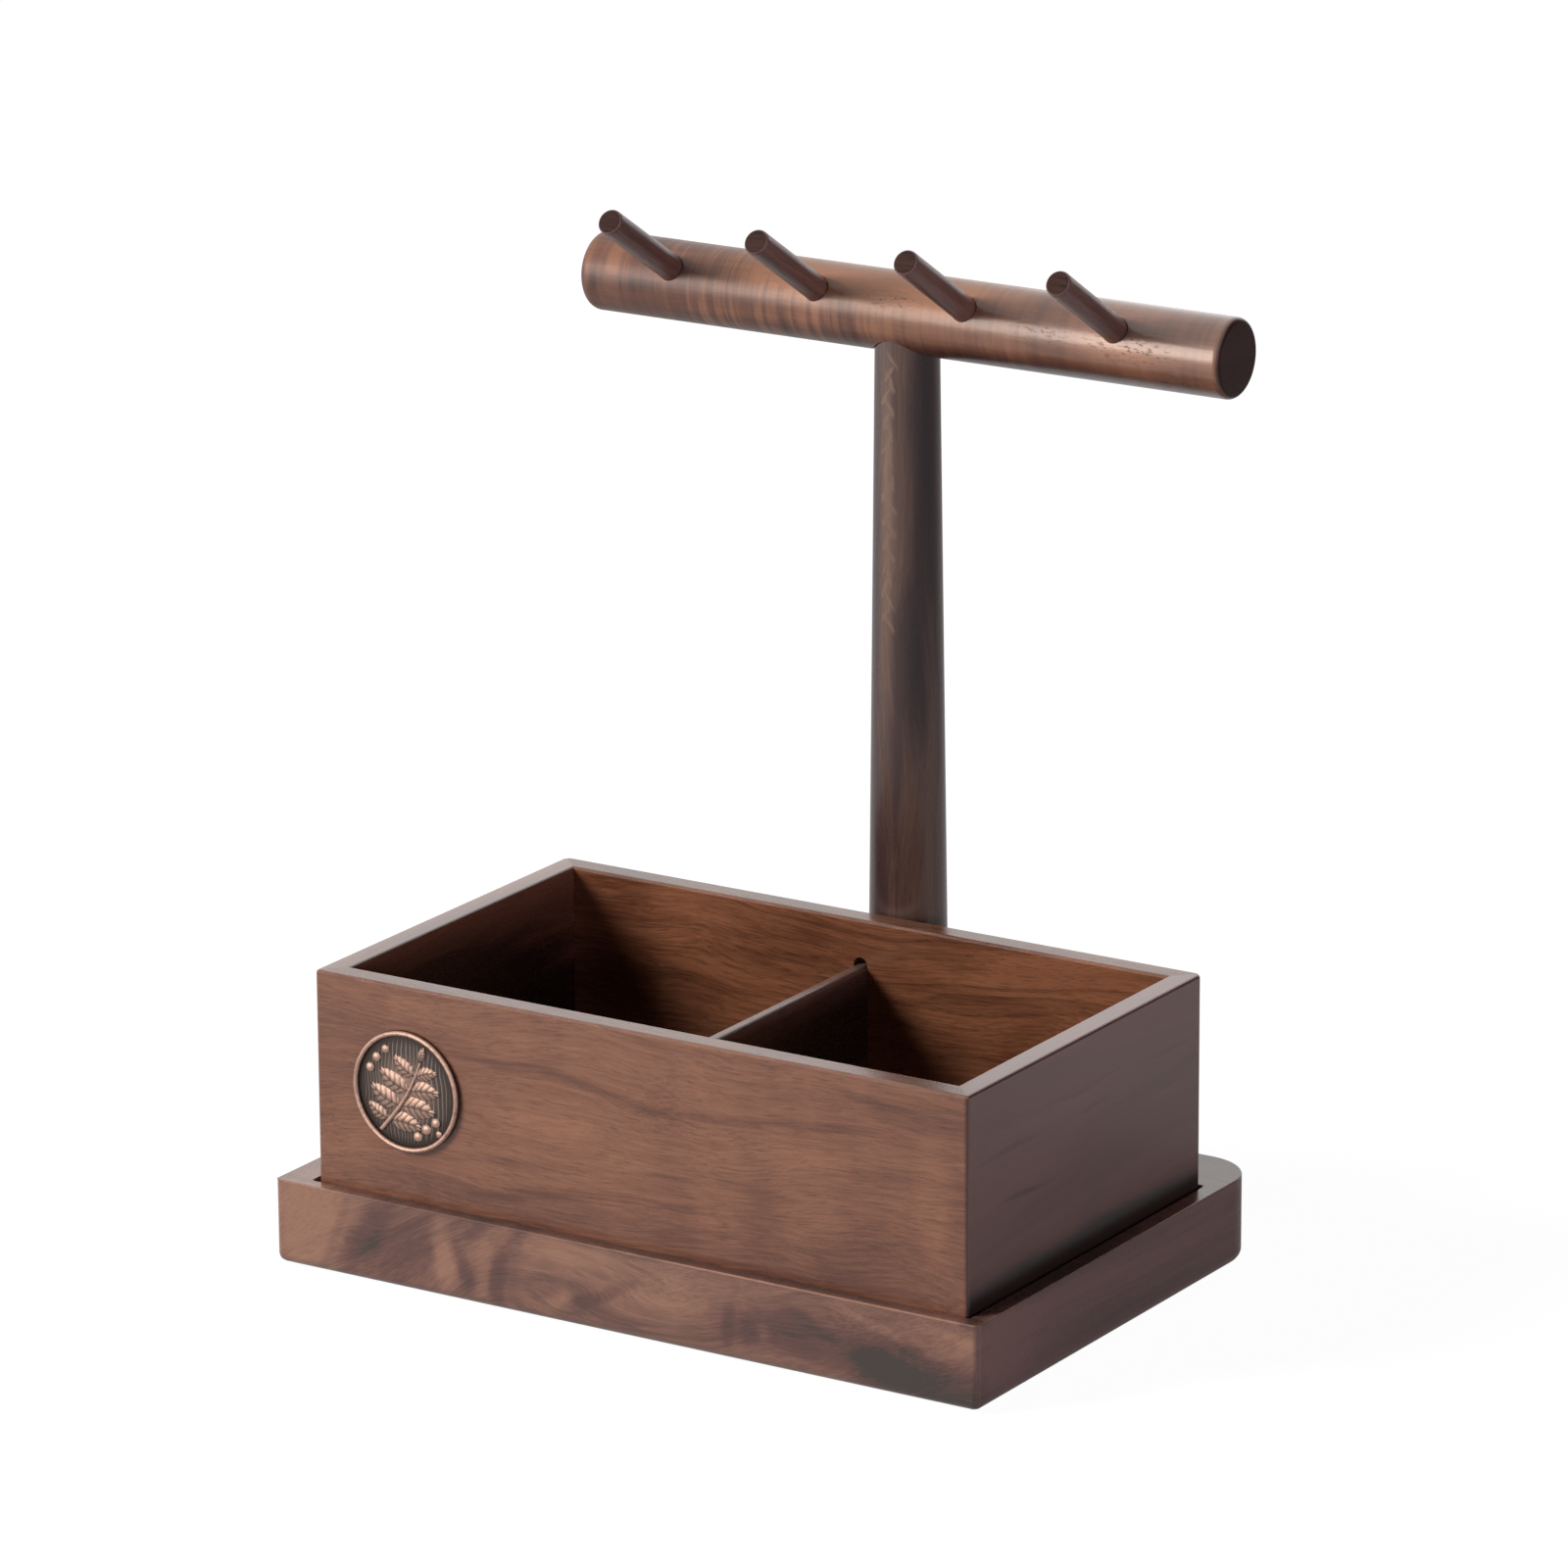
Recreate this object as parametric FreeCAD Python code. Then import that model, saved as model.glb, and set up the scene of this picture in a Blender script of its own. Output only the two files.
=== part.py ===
import FreeCAD, Part
import math
import os

V = FreeCAD.Vector
X_AXIS, Y_AXIS, Z_AXIS = V(1, 0, 0), V(0, 1, 0), V(0, 0, 1)

# Walnut desk organizer: a two-compartment box resting in the recess of a thick base,
# with a round post behind it that carries a crossbar with four hanging pegs.
# Millimetres, +Z up, -Y is the front. The origin is the middle of the base's footprint,
# on the surface that the feet stand on.

# Base slab
base_t = 26.5
base_front_corner_r = 2.2
base_back_corner_r = 17.0
base_bottom_round = 3.0
base_top_round = 0.8
recess_depth = 4.0
recess_corner_r = 1.6
lip_left = 10.4
lip_right = 5.75
lip_front = 4.7
post_to_back_edge = 0.95

# Feet, glued into shallow seats under the base
foot_r = 6.0
foot_t = 1.6
foot_seat_depth = 0.6
foot_inset = 20.0
foot_edge_bevel = 0.3
foot_seat_gap = 0.15

# Box
box_w = 228.0
box_d = 134.5
box_h = 70.5
wall_t = 8.0
rim_round = 1.0
box_front_corner_r = 1.4
box_back_corner_r = 2.6
box_gap_left = 1.95
box_gap_right = 0.4
box_gap_front = 0.4
box_gap_back = 0.4

# Bottom panel, loose in a groove around the four walls
panel_t = 5.0
panel_groove_depth = 4.0
panel_groove_up = 4.0
panel_side_gap = 0.4
panel_top_gap = 0.1

# Divider, held in two stopped grooves
divider_t = 4.6
divider_x = 1.9
divider_below_rim = 14.4
divider_groove_depth = 3.0
divider_side_gap = 0.1
divider_end_gap = 0.3
divider_edge_round = 0.7

# Medallion on the box front
medal_r = 18.8
medal_t = 2.4
medal_seat_depth = 0.6
medal_seat_gap = 0.1
medal_ring_w = 1.5
medal_field_depth = 1.3
medal_dome_h = 0.35
medal_from_left = 33.4
medal_below_rim = 32.3
medal_ring_bevel = 0.4

# Post
post_x = 6.3
post_foot_r = 12.0
post_straight_h = 55.0
post_neck_r = 9.83
post_to_box_gap = 0.45
tenon_r = 7.0
tenon_len = 14.0
tenon_edge = 1.0
tenon_side_gap = 0.1
tenon_end_gap = 0.5

# Crossbar
bar_axis_height = 278.0
bar_r = 12.2
bar_len = 223.2
bar_offset_x = 1.5
bar_left_round = 3.0
bar_right_round = 2.0
neck_bore_depth = 8.0
neck_bore_gap = 0.3
neck_bore_bevel = 0.8

# Pegs
peg_count = 4
peg_pitch = 51.7
peg_row_offset_x = -1.6
peg_r = 4.0
peg_reach = 38.6
peg_rise_deg = 32.1
peg_bore_depth = 8.5
peg_bore_gap = 0.1
peg_bore_bevel = 0.35
peg_tip_bevel = 0.5

# Wood screw, driven up from below into the post
screw_shank_r = 2.25
screw_head_r = 4.2
screw_head_h = 2.8
screw_len = 42.0
screw_tip_len = 5.0
screw_hole_gap = 0.25
screw_head_sunk = 2.0
screw_slot_w = 1.0
screw_slot_depth = 1.1
pilot_gap = 0.05

# Sizes of the base, worked out from what stands on it
base_w = lip_left + box_gap_left + box_w + box_gap_right + lip_right
base_d = lip_front + box_gap_front + box_d + post_to_box_gap + 2 * post_foot_r + post_to_back_edge

# Places worked out from the sizes above
base_z0 = foot_t - foot_seat_depth
base_top = base_z0 + base_t
recess_floor = base_top - recess_depth
recess_x0 = -base_w / 2 + lip_left
recess_x1 = base_w / 2 - lip_right
recess_y0 = -base_d / 2 + lip_front
box_x1 = recess_x1 - box_gap_right
box_x0 = box_x1 - box_w
box_y0 = recess_y0 + box_gap_front
box_y1 = box_y0 + box_d
recess_y1 = box_y1 + box_gap_back
box_z0 = recess_floor
box_z1 = box_z0 + box_h
panel_z0 = box_z0 + panel_groove_up
panel_z1 = panel_z0 + panel_t
divider_top = box_z1 - divider_below_rim
medal_x = box_x0 + medal_from_left
medal_z = box_z1 - medal_below_rim
post_y = box_y1 + post_to_box_gap + post_foot_r
bar_z = base_z0 + bar_axis_height
neck_top = bar_z - bar_r + neck_bore_depth
bar_x = post_x + bar_offset_x
screw_z0 = base_z0 + screw_head_sunk


def box_between(x0, y0, z0, x1, y1, z1):
    """Rectangular block between two corners."""
    return Part.makeBox(x1 - x0, y1 - y0, z1 - z0, V(x0, y0, z0))


def rounded_plan(x0, y0, x1, y1, front_r, back_r, z):
    """Face at height z: a rectangle with its own corner radius at the front and at the back."""
    corners = [
        (x1, y0, front_r, -90, V(-1, 1, 0)),
        (x1, y1, back_r, 0, V(-1, -1, 0)),
        (x0, y1, back_r, 90, V(1, -1, 0)),
        (x0, y0, front_r, 180, V(1, 1, 0)),
    ]
    edges = []
    ends = []
    for cx, cy, radius, start, inward in corners:
        centre = V(cx, cy, z) + inward * radius
        points = []
        for turn in (start, start + 45, start + 90):
            angle = math.radians(turn)
            points.append(centre + V(math.cos(angle), math.sin(angle), 0) * radius)
        edges.append(Part.Arc(*points).toShape())
        ends.append((points[0], points[2]))
    for here, there in zip(ends, ends[1:] + ends[:1]):
        edges.append(Part.makeLine(here[1], there[0]))
    return Part.Face(Part.Wire(Part.__sortEdges__(edges)))


def edges_at_height(shape, z):
    """The edges of a shape that lie wholly at height z."""
    found = []
    for edge in shape.Edges:
        box = edge.BoundBox
        if abs(box.ZMin - z) < 1e-5 and abs(box.ZMax - z) < 1e-5:
            found.append(edge)
    return found


def revolved(points, axis_point, axis_dir):
    """Solid from an outline of points turned about an axis."""
    outline = Part.makePolygon(points + points[:1])
    return Part.Face(outline).revolve(axis_point, axis_dir, 360)


def wood_screw_outline(gap):
    """Half outline of the countersunk wood screw, from its head up to its point."""
    tip_z = screw_z0 + screw_len
    taper_z = tip_z - screw_tip_len
    shank = screw_shank_r + gap
    head = screw_head_r + gap
    return [
        V(post_x, post_y, screw_z0),
        V(post_x + head, post_y, screw_z0),
        V(post_x + shank, post_y, screw_z0 + screw_head_h),
        V(post_x + shank, post_y, taper_z),
        V(post_x, post_y, tip_z + gap),
    ]


def foot_centres():
    """Plan positions of the four feet, the front pair first."""
    dx = base_w / 2 - foot_inset
    dy = base_d / 2 - foot_inset
    return {
        "foot_front_left": (-dx, -dy),
        "foot_front_right": (dx, -dy),
        "foot_back_left": (-dx, dy),
        "foot_back_right": (dx, dy),
    }


def make_base_slab():
    """Thick slab with rounded edges, the recess for the box and the socket for the post."""
    plan = rounded_plan(-base_w / 2, -base_d / 2, base_w / 2, base_d / 2,
                        base_front_corner_r, base_back_corner_r, base_z0)
    slab = plan.extrude(Z_AXIS * base_t)
    slab = slab.makeFillet(base_top_round, edges_at_height(slab, base_top))
    slab = slab.makeFillet(base_bottom_round, edges_at_height(slab, base_z0))
    recess = rounded_plan(recess_x0, recess_y0, recess_x1, recess_y1,
                          recess_corner_r, recess_corner_r, recess_floor)
    slab = slab.cut(recess.extrude(Z_AXIS * (recess_depth + base_top_round)))
    socket_floor = base_top - tenon_len - tenon_end_gap
    socket = Part.makeCylinder(tenon_r + tenon_side_gap, tenon_len + tenon_end_gap + base_top_round,
                               V(post_x, post_y, socket_floor))
    through = Part.makeCylinder(screw_shank_r + screw_hole_gap, base_t, V(post_x, post_y, base_z0))
    slab = slab.cut(socket).cut(through)
    sink = Part.makeCylinder(screw_head_r + screw_hole_gap, screw_head_sunk,
                             V(post_x, post_y, base_z0))
    cone = Part.makeCone(screw_head_r + screw_hole_gap, screw_shank_r + screw_hole_gap,
                         screw_head_h, V(post_x, post_y, screw_z0))
    slab = slab.cut(sink).cut(cone)
    for x, y in foot_centres().values():
        seat = Part.makeCylinder(foot_r + foot_seat_gap, foot_seat_depth, V(x, y, base_z0))
        slab = slab.cut(seat)
    return slab


def make_foot(x, y):
    """Round anti-slip pad with a bevelled lower edge."""
    pad = Part.makeCylinder(foot_r, foot_t, V(x, y, 0))
    return pad.makeChamfer(foot_edge_bevel, edges_at_height(pad, 0))


def make_box_shell():
    """The four walls as one ring, with every round, groove and seat in them."""
    outer = rounded_plan(box_x0, box_y0, box_x1, box_y1, box_front_corner_r, box_back_corner_r, box_z0)
    shell = outer.extrude(Z_AXIS * box_h)
    inner = box_between(box_x0 + wall_t, box_y0 + wall_t, box_z0 - 1,
                        box_x1 - wall_t, box_y1 - wall_t, box_z1 + 1)
    shell = shell.cut(inner)
    shell = shell.makeFillet(rim_round, edges_at_height(shell, box_z1))
    reach = wall_t - panel_groove_depth
    groove = box_between(box_x0 + reach, box_y0 + reach, panel_z0,
                         box_x1 - reach, box_y1 - reach, panel_z1 + panel_top_gap)
    shell = shell.cut(groove)
    for slot in divider_grooves():
        shell = shell.cut(slot)
    seat = Part.makeCylinder(medal_r + medal_seat_gap, medal_seat_depth,
                             V(medal_x, box_y0 + medal_seat_depth, medal_z), V(0, -1, 0))
    return shell.cut(seat)


def divider_grooves():
    """The stopped grooves in the front and back walls, round at the top where the cutter stopped."""
    half = divider_t / 2 + divider_side_gap
    cuts = []
    for face_y, way in ((box_y0 + wall_t, -1), (box_y1 - wall_t, 1)):
        far_y = face_y + way * divider_groove_depth
        low_y, high_y = min(face_y, far_y), max(face_y, far_y)
        straight = box_between(divider_x - half, low_y, panel_z0, divider_x + half, high_y, divider_top)
        arch = Part.makeCylinder(half, high_y - low_y, V(divider_x, low_y, divider_top), Y_AXIS)
        cuts.append(straight.fuse(arch).removeSplitter())
    return cuts


def mitre_wedge(side):
    """Prism that keeps one wall of the ring, with 45 degree ends that meet at the corners."""
    out = wall_t
    deep = wall_t * 2
    low, high = box_z0 - 1, box_z1 + 1
    x0, x1, y0, y1 = box_x0, box_x1, box_y0, box_y1
    plans = {
        "front": [(x0 - out, y0 - out), (x1 + out, y0 - out), (x1 - deep, y0 + deep), (x0 + deep, y0 + deep)],
        "back": [(x0 - out, y1 + out), (x1 + out, y1 + out), (x1 - deep, y1 - deep), (x0 + deep, y1 - deep)],
        "left": [(x0 - out, y0 - out), (x0 + deep, y0 + deep), (x0 + deep, y1 - deep), (x0 - out, y1 + out)],
        "right": [(x1 + out, y0 - out), (x1 - deep, y0 + deep), (x1 - deep, y1 - deep), (x1 + out, y1 + out)],
    }
    corners = [V(x, y, low) for x, y in plans[side]]
    return Part.Face(Part.makePolygon(corners + corners[:1])).extrude(Z_AXIS * (high - low))


def make_bottom_panel():
    """Flat panel whose edges reach into the groove of all four walls."""
    edge = wall_t - panel_groove_depth + panel_side_gap
    return box_between(box_x0 + edge, box_y0 + edge, panel_z0, box_x1 - edge, box_y1 - edge, panel_z1)


def make_divider():
    """Thin board across the box, standing on the bottom panel with its ends in the grooves."""
    end = wall_t - divider_groove_depth + divider_end_gap
    board = box_between(divider_x - divider_t / 2, box_y0 + end, panel_z1,
                        divider_x + divider_t / 2, box_y1 - end, divider_top)
    long_edges = [e for e in edges_at_height(board, divider_top) if e.BoundBox.YLength > divider_t * 2]
    return board.makeFillet(divider_edge_round, long_edges)


def make_medallion():
    """Cast disc with a raised ring round a sunken, slightly domed field."""
    back_y = box_y0 + medal_seat_depth
    front_y = back_y - medal_t
    disc = Part.makeCylinder(medal_r, medal_t, V(medal_x, back_y, medal_z), V(0, -1, 0))
    front_edge = [e for e in disc.Edges if abs(e.BoundBox.YMin - front_y) < 1e-5
                  and e.BoundBox.YLength < 1e-5]
    disc = disc.makeChamfer(medal_ring_bevel, front_edge)
    field_r = medal_r - medal_ring_w
    field_y = front_y + medal_field_depth
    pocket = Part.makeCylinder(field_r, medal_field_depth, V(medal_x, field_y, medal_z), V(0, -1, 0))
    disc = disc.cut(pocket)
    dome_r = (field_r ** 2 + medal_dome_h ** 2) / (2 * medal_dome_h)
    ball = Part.makeSphere(dome_r, V(medal_x, field_y - medal_dome_h + dome_r, medal_z))
    cap = Part.makeCylinder(field_r, medal_dome_h * 2, V(medal_x, field_y + medal_dome_h, medal_z), V(0, -1, 0))
    return disc.fuse(ball.common(cap)).removeSplitter()


def make_post():
    """Round post: a tenon below, a straight foot, then a taper up to the neck in the crossbar."""
    tenon_bottom = base_top - tenon_len
    outline = [
        V(post_x, post_y, tenon_bottom),
        V(post_x + tenon_r - tenon_edge, post_y, tenon_bottom),
        V(post_x + tenon_r, post_y, tenon_bottom + tenon_edge),
        V(post_x + tenon_r, post_y, base_top),
        V(post_x + post_foot_r, post_y, base_top),
        V(post_x + post_foot_r, post_y, base_top + post_straight_h),
        V(post_x + post_neck_r, post_y, bar_z - bar_r),
        V(post_x + post_neck_r, post_y, neck_top),
        V(post_x, post_y, neck_top),
    ]
    post = revolved(outline, V(post_x, post_y, 0), Z_AXIS)
    pilot = revolved(wood_screw_outline(pilot_gap), V(post_x, post_y, 0), Z_AXIS)
    return post.cut(pilot)


def make_screw():
    """Countersunk wood screw with a straight slot in its head."""
    screw = revolved(wood_screw_outline(0), V(post_x, post_y, 0), Z_AXIS)
    slot = box_between(post_x - screw_head_r, post_y - screw_slot_w / 2, screw_z0 - 1,
                       post_x + screw_head_r, post_y + screw_slot_w / 2, screw_z0 + screw_slot_depth)
    return screw.cut(slot)


def peg_direction():
    """Unit vector along the pegs: forwards and up."""
    rise = math.radians(peg_rise_deg)
    return V(0, -math.cos(rise), math.sin(rise))


def peg_places():
    """Points on the crossbar's axis that the pegs point away from, left to right."""
    first = bar_x + peg_row_offset_x - peg_pitch * (peg_count - 1) / 2
    return [V(first + peg_pitch * i, post_y, bar_z) for i in range(peg_count)]


def make_crossbar():
    """Round bar with soft ends, a blind bore below for the post and a blind bore for each peg."""
    start = V(bar_x - bar_len / 2, post_y, bar_z)
    bar = Part.makeCylinder(bar_r, bar_len, start, X_AXIS)
    for radius, end_x in ((bar_left_round, start.x), (bar_right_round, start.x + bar_len)):
        rim = [e for e in bar.Edges if e.BoundBox.XLength < 1e-5 and abs(e.BoundBox.XMin - end_x) < 1e-5]
        bar = bar.makeFillet(radius, rim)
    neck_bore_r = post_neck_r + neck_bore_gap
    neck_bore = Part.makeCylinder(neck_bore_r, bar_r, V(post_x, post_y, neck_top - bar_r))
    neck_mouth = Part.makeCone(neck_bore_r + neck_bore_bevel, neck_bore_r, neck_bore_bevel,
                               V(post_x, post_y, bar_z - bar_r))
    bar = bar.cut(neck_bore).cut(neck_mouth)
    along = peg_direction()
    for place in peg_places():
        bore_floor = place + along * (bar_r - peg_bore_depth)
        bore = Part.makeCylinder(peg_r + peg_bore_gap, bar_r, bore_floor, along)
        bevel = Part.makeCone(peg_r, peg_r + peg_bore_bevel * 2, peg_bore_bevel * 2,
                              place + along * (bar_r - peg_bore_bevel), along)
        bar = bar.cut(bore).cut(bevel)
    return bar


def make_peg(place):
    """Plain round peg with a bevelled tip, seated on the floor of its bore."""
    along = peg_direction()
    length = peg_bore_depth + peg_reach
    root = place + along * (bar_r - peg_bore_depth)
    peg = Part.makeCylinder(peg_r, length, root, along)
    tip = root + along * length
    rims = [e for e in peg.Edges if e.Closed and e.CenterOfMass.distanceToPoint(tip) < peg_r]
    return peg.makeChamfer(peg_tip_bevel, rims)


def make_parts():
    """Every piece of the organizer, by name."""
    parts = {"base_slab": make_base_slab()}
    for name, (x, y) in foot_centres().items():
        parts[name] = make_foot(x, y)
    shell = make_box_shell()
    for side in ("front", "back", "left", "right"):
        parts["box_%s_wall" % side] = shell.common(mitre_wedge(side))
    parts["box_bottom_panel"] = make_bottom_panel()
    parts["box_divider"] = make_divider()
    parts["medallion"] = make_medallion()
    parts["post"] = make_post()
    parts["post_screw"] = make_screw()
    parts["crossbar"] = make_crossbar()
    for number, place in enumerate(peg_places(), start=1):
        parts["peg_%d" % number] = make_peg(place)
    return parts


os.makedirs("parts", exist_ok=True)
for name, shape in make_parts().items():
    shape = shape.Solids[0] if len(shape.Solids) == 1 else shape
    shape.exportStep("parts/%s.step" % name)
    print("%-18s solids %d valid %s volume %.1f" % (name, len(shape.Solids), shape.isValid(), shape.Volume))
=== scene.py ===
# %% [markdown]
# A walnut desk organizer: a two-compartment box that rests in a thick base, and a round post behind
# it with a crossbar and four pegs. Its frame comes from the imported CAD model, in metres, so every
# piece made here goes exactly where the CAD says. The CAD's own triangles could be shown as they
# are, but its rounds have few faces, so the visible pieces are rebuilt and get procedural finishes.

# %% Load the frame
import math
import bmesh
import bpy
from mathutils import Matrix, Vector


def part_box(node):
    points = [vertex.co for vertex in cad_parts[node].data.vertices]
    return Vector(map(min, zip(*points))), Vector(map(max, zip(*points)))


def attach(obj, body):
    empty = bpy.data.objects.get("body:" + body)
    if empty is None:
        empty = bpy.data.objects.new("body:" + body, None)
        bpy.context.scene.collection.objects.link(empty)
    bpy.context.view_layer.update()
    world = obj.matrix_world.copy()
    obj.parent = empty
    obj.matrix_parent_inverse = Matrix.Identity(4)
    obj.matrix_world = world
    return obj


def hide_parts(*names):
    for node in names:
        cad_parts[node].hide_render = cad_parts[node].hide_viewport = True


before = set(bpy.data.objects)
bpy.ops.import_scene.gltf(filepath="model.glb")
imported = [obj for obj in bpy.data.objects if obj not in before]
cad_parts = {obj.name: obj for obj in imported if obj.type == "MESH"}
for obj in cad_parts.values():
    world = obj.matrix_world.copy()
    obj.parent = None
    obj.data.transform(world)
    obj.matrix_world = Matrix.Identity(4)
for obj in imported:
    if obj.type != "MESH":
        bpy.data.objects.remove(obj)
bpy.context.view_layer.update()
MM = 0.001  # one millimetre, because the frame is in metres
TOUCH = 1e-6  # two places closer than this count as one
scene = bpy.context.scene
scene.view_settings.view_transform = "Standard"

# %% [markdown]
# The picture is taken with a long lens from the front right, a little above the box. A short lens
# close by would do as well for a sketch, but upright edges would lean together. A long lens from far
# away keeps them nearly parallel, as in the photograph. The camera is placed by position and by
# three plain turns: around the upright, then its tilt, then its own small roll.

# %% Camera
camera_place = Vector((1.323752, -2.065349, 0.877798))
camera_turn, camera_tilt, camera_roll = 0.567880, -0.288789, -0.005779
camera_data = bpy.data.cameras.new("camera")
camera_data.sensor_width = 36.0
camera_data.lens = 198.371
camera_data.clip_end = 50.0
camera = bpy.data.objects.new("camera", camera_data)
scene.collection.objects.link(camera)
camera.matrix_world = (Matrix.Translation(camera_place)
                       @ Matrix.Rotation(camera_turn, 4, "Z")
                       @ Matrix.Rotation(math.pi / 2 + camera_tilt, 4, "X")
                       @ Matrix.Rotation(camera_roll, 4, "Z"))
scene.camera = camera
print("camera", tuple(round(v, 3) for v in camera_place), "lens", camera_data.lens)

# %% [markdown]
# The light is a plain soft studio, built from area lights, which give the wide soft edges of real
# softboxes. A high box at the front left lights the front and the inside of the box. A weak cool
# box at the right keeps the faces there dark but readable, and a third one, behind, does the same
# for the back. A low warm strip box draws the bright line along the crossbar. It would also wash
# out the box, so light linking lets it shine only on the crossbar and the medallion, and only in
# their gloss. The other three are hidden from the gloss, or each would leave its own bright spot.


# %% Lights
def softbox(name, turn, rise, distance, width, height, watts, colour=(1.0, 1.0, 1.0)):
    """Area light that looks at the object from a turn to the left of the front and a rise."""
    light = bpy.data.lights.new(name, "AREA")
    light.shape = "RECTANGLE"
    light.size, light.size_y = width, height
    light.energy = watts
    light.color = colour
    lamp = bpy.data.objects.new(name, light)
    scene.collection.objects.link(lamp)
    turn, rise = math.radians(turn), math.radians(rise)
    away = Vector((-math.sin(turn) * math.cos(rise), -math.cos(turn) * math.cos(rise), math.sin(rise)))
    middle_of_object = Vector((0.0, 0.0, 0.12))
    lamp.location = middle_of_object + away * distance
    lamp.rotation_euler = away.to_track_quat("Z", "Y").to_euler()
    return lamp


strip = softbox("strip_softbox", 27, 14, 2.1, 1.3, 1.1, 28, (1.0, 0.91, 0.82))
high = softbox("high_softbox", 45, 27.5, 2.6, 1.0, 1.0, 84)
side = softbox("right_fill", -62, 4, 2.6, 1.2, 0.5, 15, (1.0, 0.94, 1.2))
back = softbox("back_fill", 165, 3, 2.6, 1.6, 0.5, 14)
strip.visible_diffuse = False
shone_on = bpy.data.collections.new("lit_by_the_strip")
strip.light_linking.receiver_collection = shone_on
for lamp in (high, side, back):
    lamp.visible_glossy = False
print("lights in watts", [lamp.data.energy for lamp in (strip, high, side, back)])

# %% [markdown]
# Every finish below is a tree of shader nodes. Written out one by one the nodes would fill pages,
# so a few helpers make a node, link or set its inputs, and hand back the output that comes next.


# %% Node helpers
def feed(tree, socket, value):
    """Set a socket to a plain value, or link another node's output to it."""
    if isinstance(value, bpy.types.NodeSocket):
        tree.links.new(value, socket)
    else:
        socket.default_value = value


def add(tree, kind, inputs=(), **settings):
    """New node with its settings, and with a value or a link for some of its inputs."""
    node = tree.nodes.new(kind)
    for key, value in settings.items():
        setattr(node, key, value)
    for key, value in dict(inputs).items():
        feed(tree, node.inputs[key], value)
    return node


def math_node(tree, operation, first, second=None, third=None, clamp=False):
    """Math node on sockets or numbers; hands back its output."""
    given = {place: value for place, value in enumerate((first, second, third)) if value is not None}
    return add(tree, "ShaderNodeMath", given, operation=operation, use_clamp=clamp).outputs[0]


def vector_node(tree, operation, first, second=None, third=None):
    """Vector math node; hands back its vector, or its number where it measures one."""
    given = {place: value for place, value in enumerate((first, second, third)) if value is not None}
    node = add(tree, "ShaderNodeVectorMath", given, operation=operation)
    return node.outputs["Value" if operation in ("LENGTH", "DOT_PRODUCT") else "Vector"]


def stretch(tree, vector, scale, shift=(0.0, 0.0, 0.0)):
    """A vector multiplied and moved, so that a noise gets longer one way than another."""
    return vector_node(tree, "MULTIPLY_ADD", vector, scale, shift)


def noise(tree, vector, detail=2.0, roughness=0.5, output="Fac"):
    """Noise texture at scale 1 on an already stretched vector."""
    inputs = {"Vector": vector, "Scale": 1.0, "Detail": detail, "Roughness": roughness}
    return add(tree, "ShaderNodeTexNoise", inputs).outputs[output]


def remap(tree, value, low, high, to_low=0.0, to_high=1.0):
    """Smooth step of a value between two limits."""
    inputs = {"Value": value, "From Min": low, "From Max": high, "To Min": to_low, "To Max": to_high}
    return add(tree, "ShaderNodeMapRange", inputs, interpolation_type="SMOOTHSTEP").outputs["Result"]


def blend_colour(tree, factor, first, second):
    """Mix of two colours; the mix node has its colour sockets at places 6 and 7."""
    return add(tree, "ShaderNodeMix", {0: factor, 6: first, 7: second}, data_type="RGBA").outputs[2]


def split(tree, vector, axis):
    """One part of a vector, by the name of its axis."""
    return add(tree, "ShaderNodeSeparateXYZ", {0: vector}).outputs[axis]


def new_material(name):
    """Empty material; hands back it, its tree and the socket that its surface goes into."""
    material = bpy.data.materials.new(name)
    material.use_nodes = True
    tree = material.node_tree
    tree.nodes.clear()
    return material, tree, add(tree, "ShaderNodeOutputMaterial").inputs["Surface"]


WHITE = (1.0, 1.0, 1.0, 1.0)
print("white", WHITE)

# %% [markdown]
# Floor and air look white to the camera, and bright in reflections, but send only a little light
# onto the object. Strong lamps could bleach them too, but would bleach the wood first. The Light
# Path node tells what kind of ray asks, so one number can be for the camera, one for reflections
# and one for the light that falls on the object.


# %% White surroundings
def ray_value(tree, seen, reflected, lighting):
    """A number for camera rays, another for reflections and glass, and a third for all other rays."""
    path = add(tree, "ShaderNodeLightPath").outputs
    shiny = math_node(tree, "MAXIMUM", path["Is Glossy Ray"], path["Is Transmission Ray"])
    unseen = add(tree, "ShaderNodeMix", {0: shiny, 2: lighting, 3: reflected}).outputs[0]
    return add(tree, "ShaderNodeMix", {0: path["Is Camera Ray"], 2: unseen, 3: seen}).outputs[0]


world = bpy.data.worlds.new("studio")
scene.world = world
world.use_nodes = True
sky = world.node_tree
sky.nodes.clear()
air = add(sky, "ShaderNodeBackground", {"Color": WHITE, "Strength": ray_value(sky, 1.0, 1.3, 0.025)})
add(sky, "ShaderNodeOutputWorld", {"Surface": air.outputs[0]})
print("world nodes", len(sky.nodes))

# %% [markdown]
# The floor is one large square that keeps the object's soft shadow. A curved backdrop would do too,
# but no edge of this floor ever comes into the picture. A glow makes it white to the camera, and
# a little paper colour under the glow takes the shadow. Behind the object at the right, out of the
# picture, stands a black cloth. It shows only in reflections, where it darkens the gloss of the
# right faces, as a black card does in a real studio.


# %% Floor and dark flag
def flat_sheet(name, half, place):
    """Square sheet of a half width, moved to its place."""
    bm = bmesh.new()
    bmesh.ops.create_grid(bm, x_segments=1, y_segments=1, size=half)
    bmesh.ops.transform(bm, matrix=place, verts=bm.verts)
    mesh = bpy.data.meshes.new(name)
    bm.to_mesh(mesh)
    bm.free()
    sheet = bpy.data.objects.new(name, mesh)
    scene.collection.objects.link(sheet)
    return sheet


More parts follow.
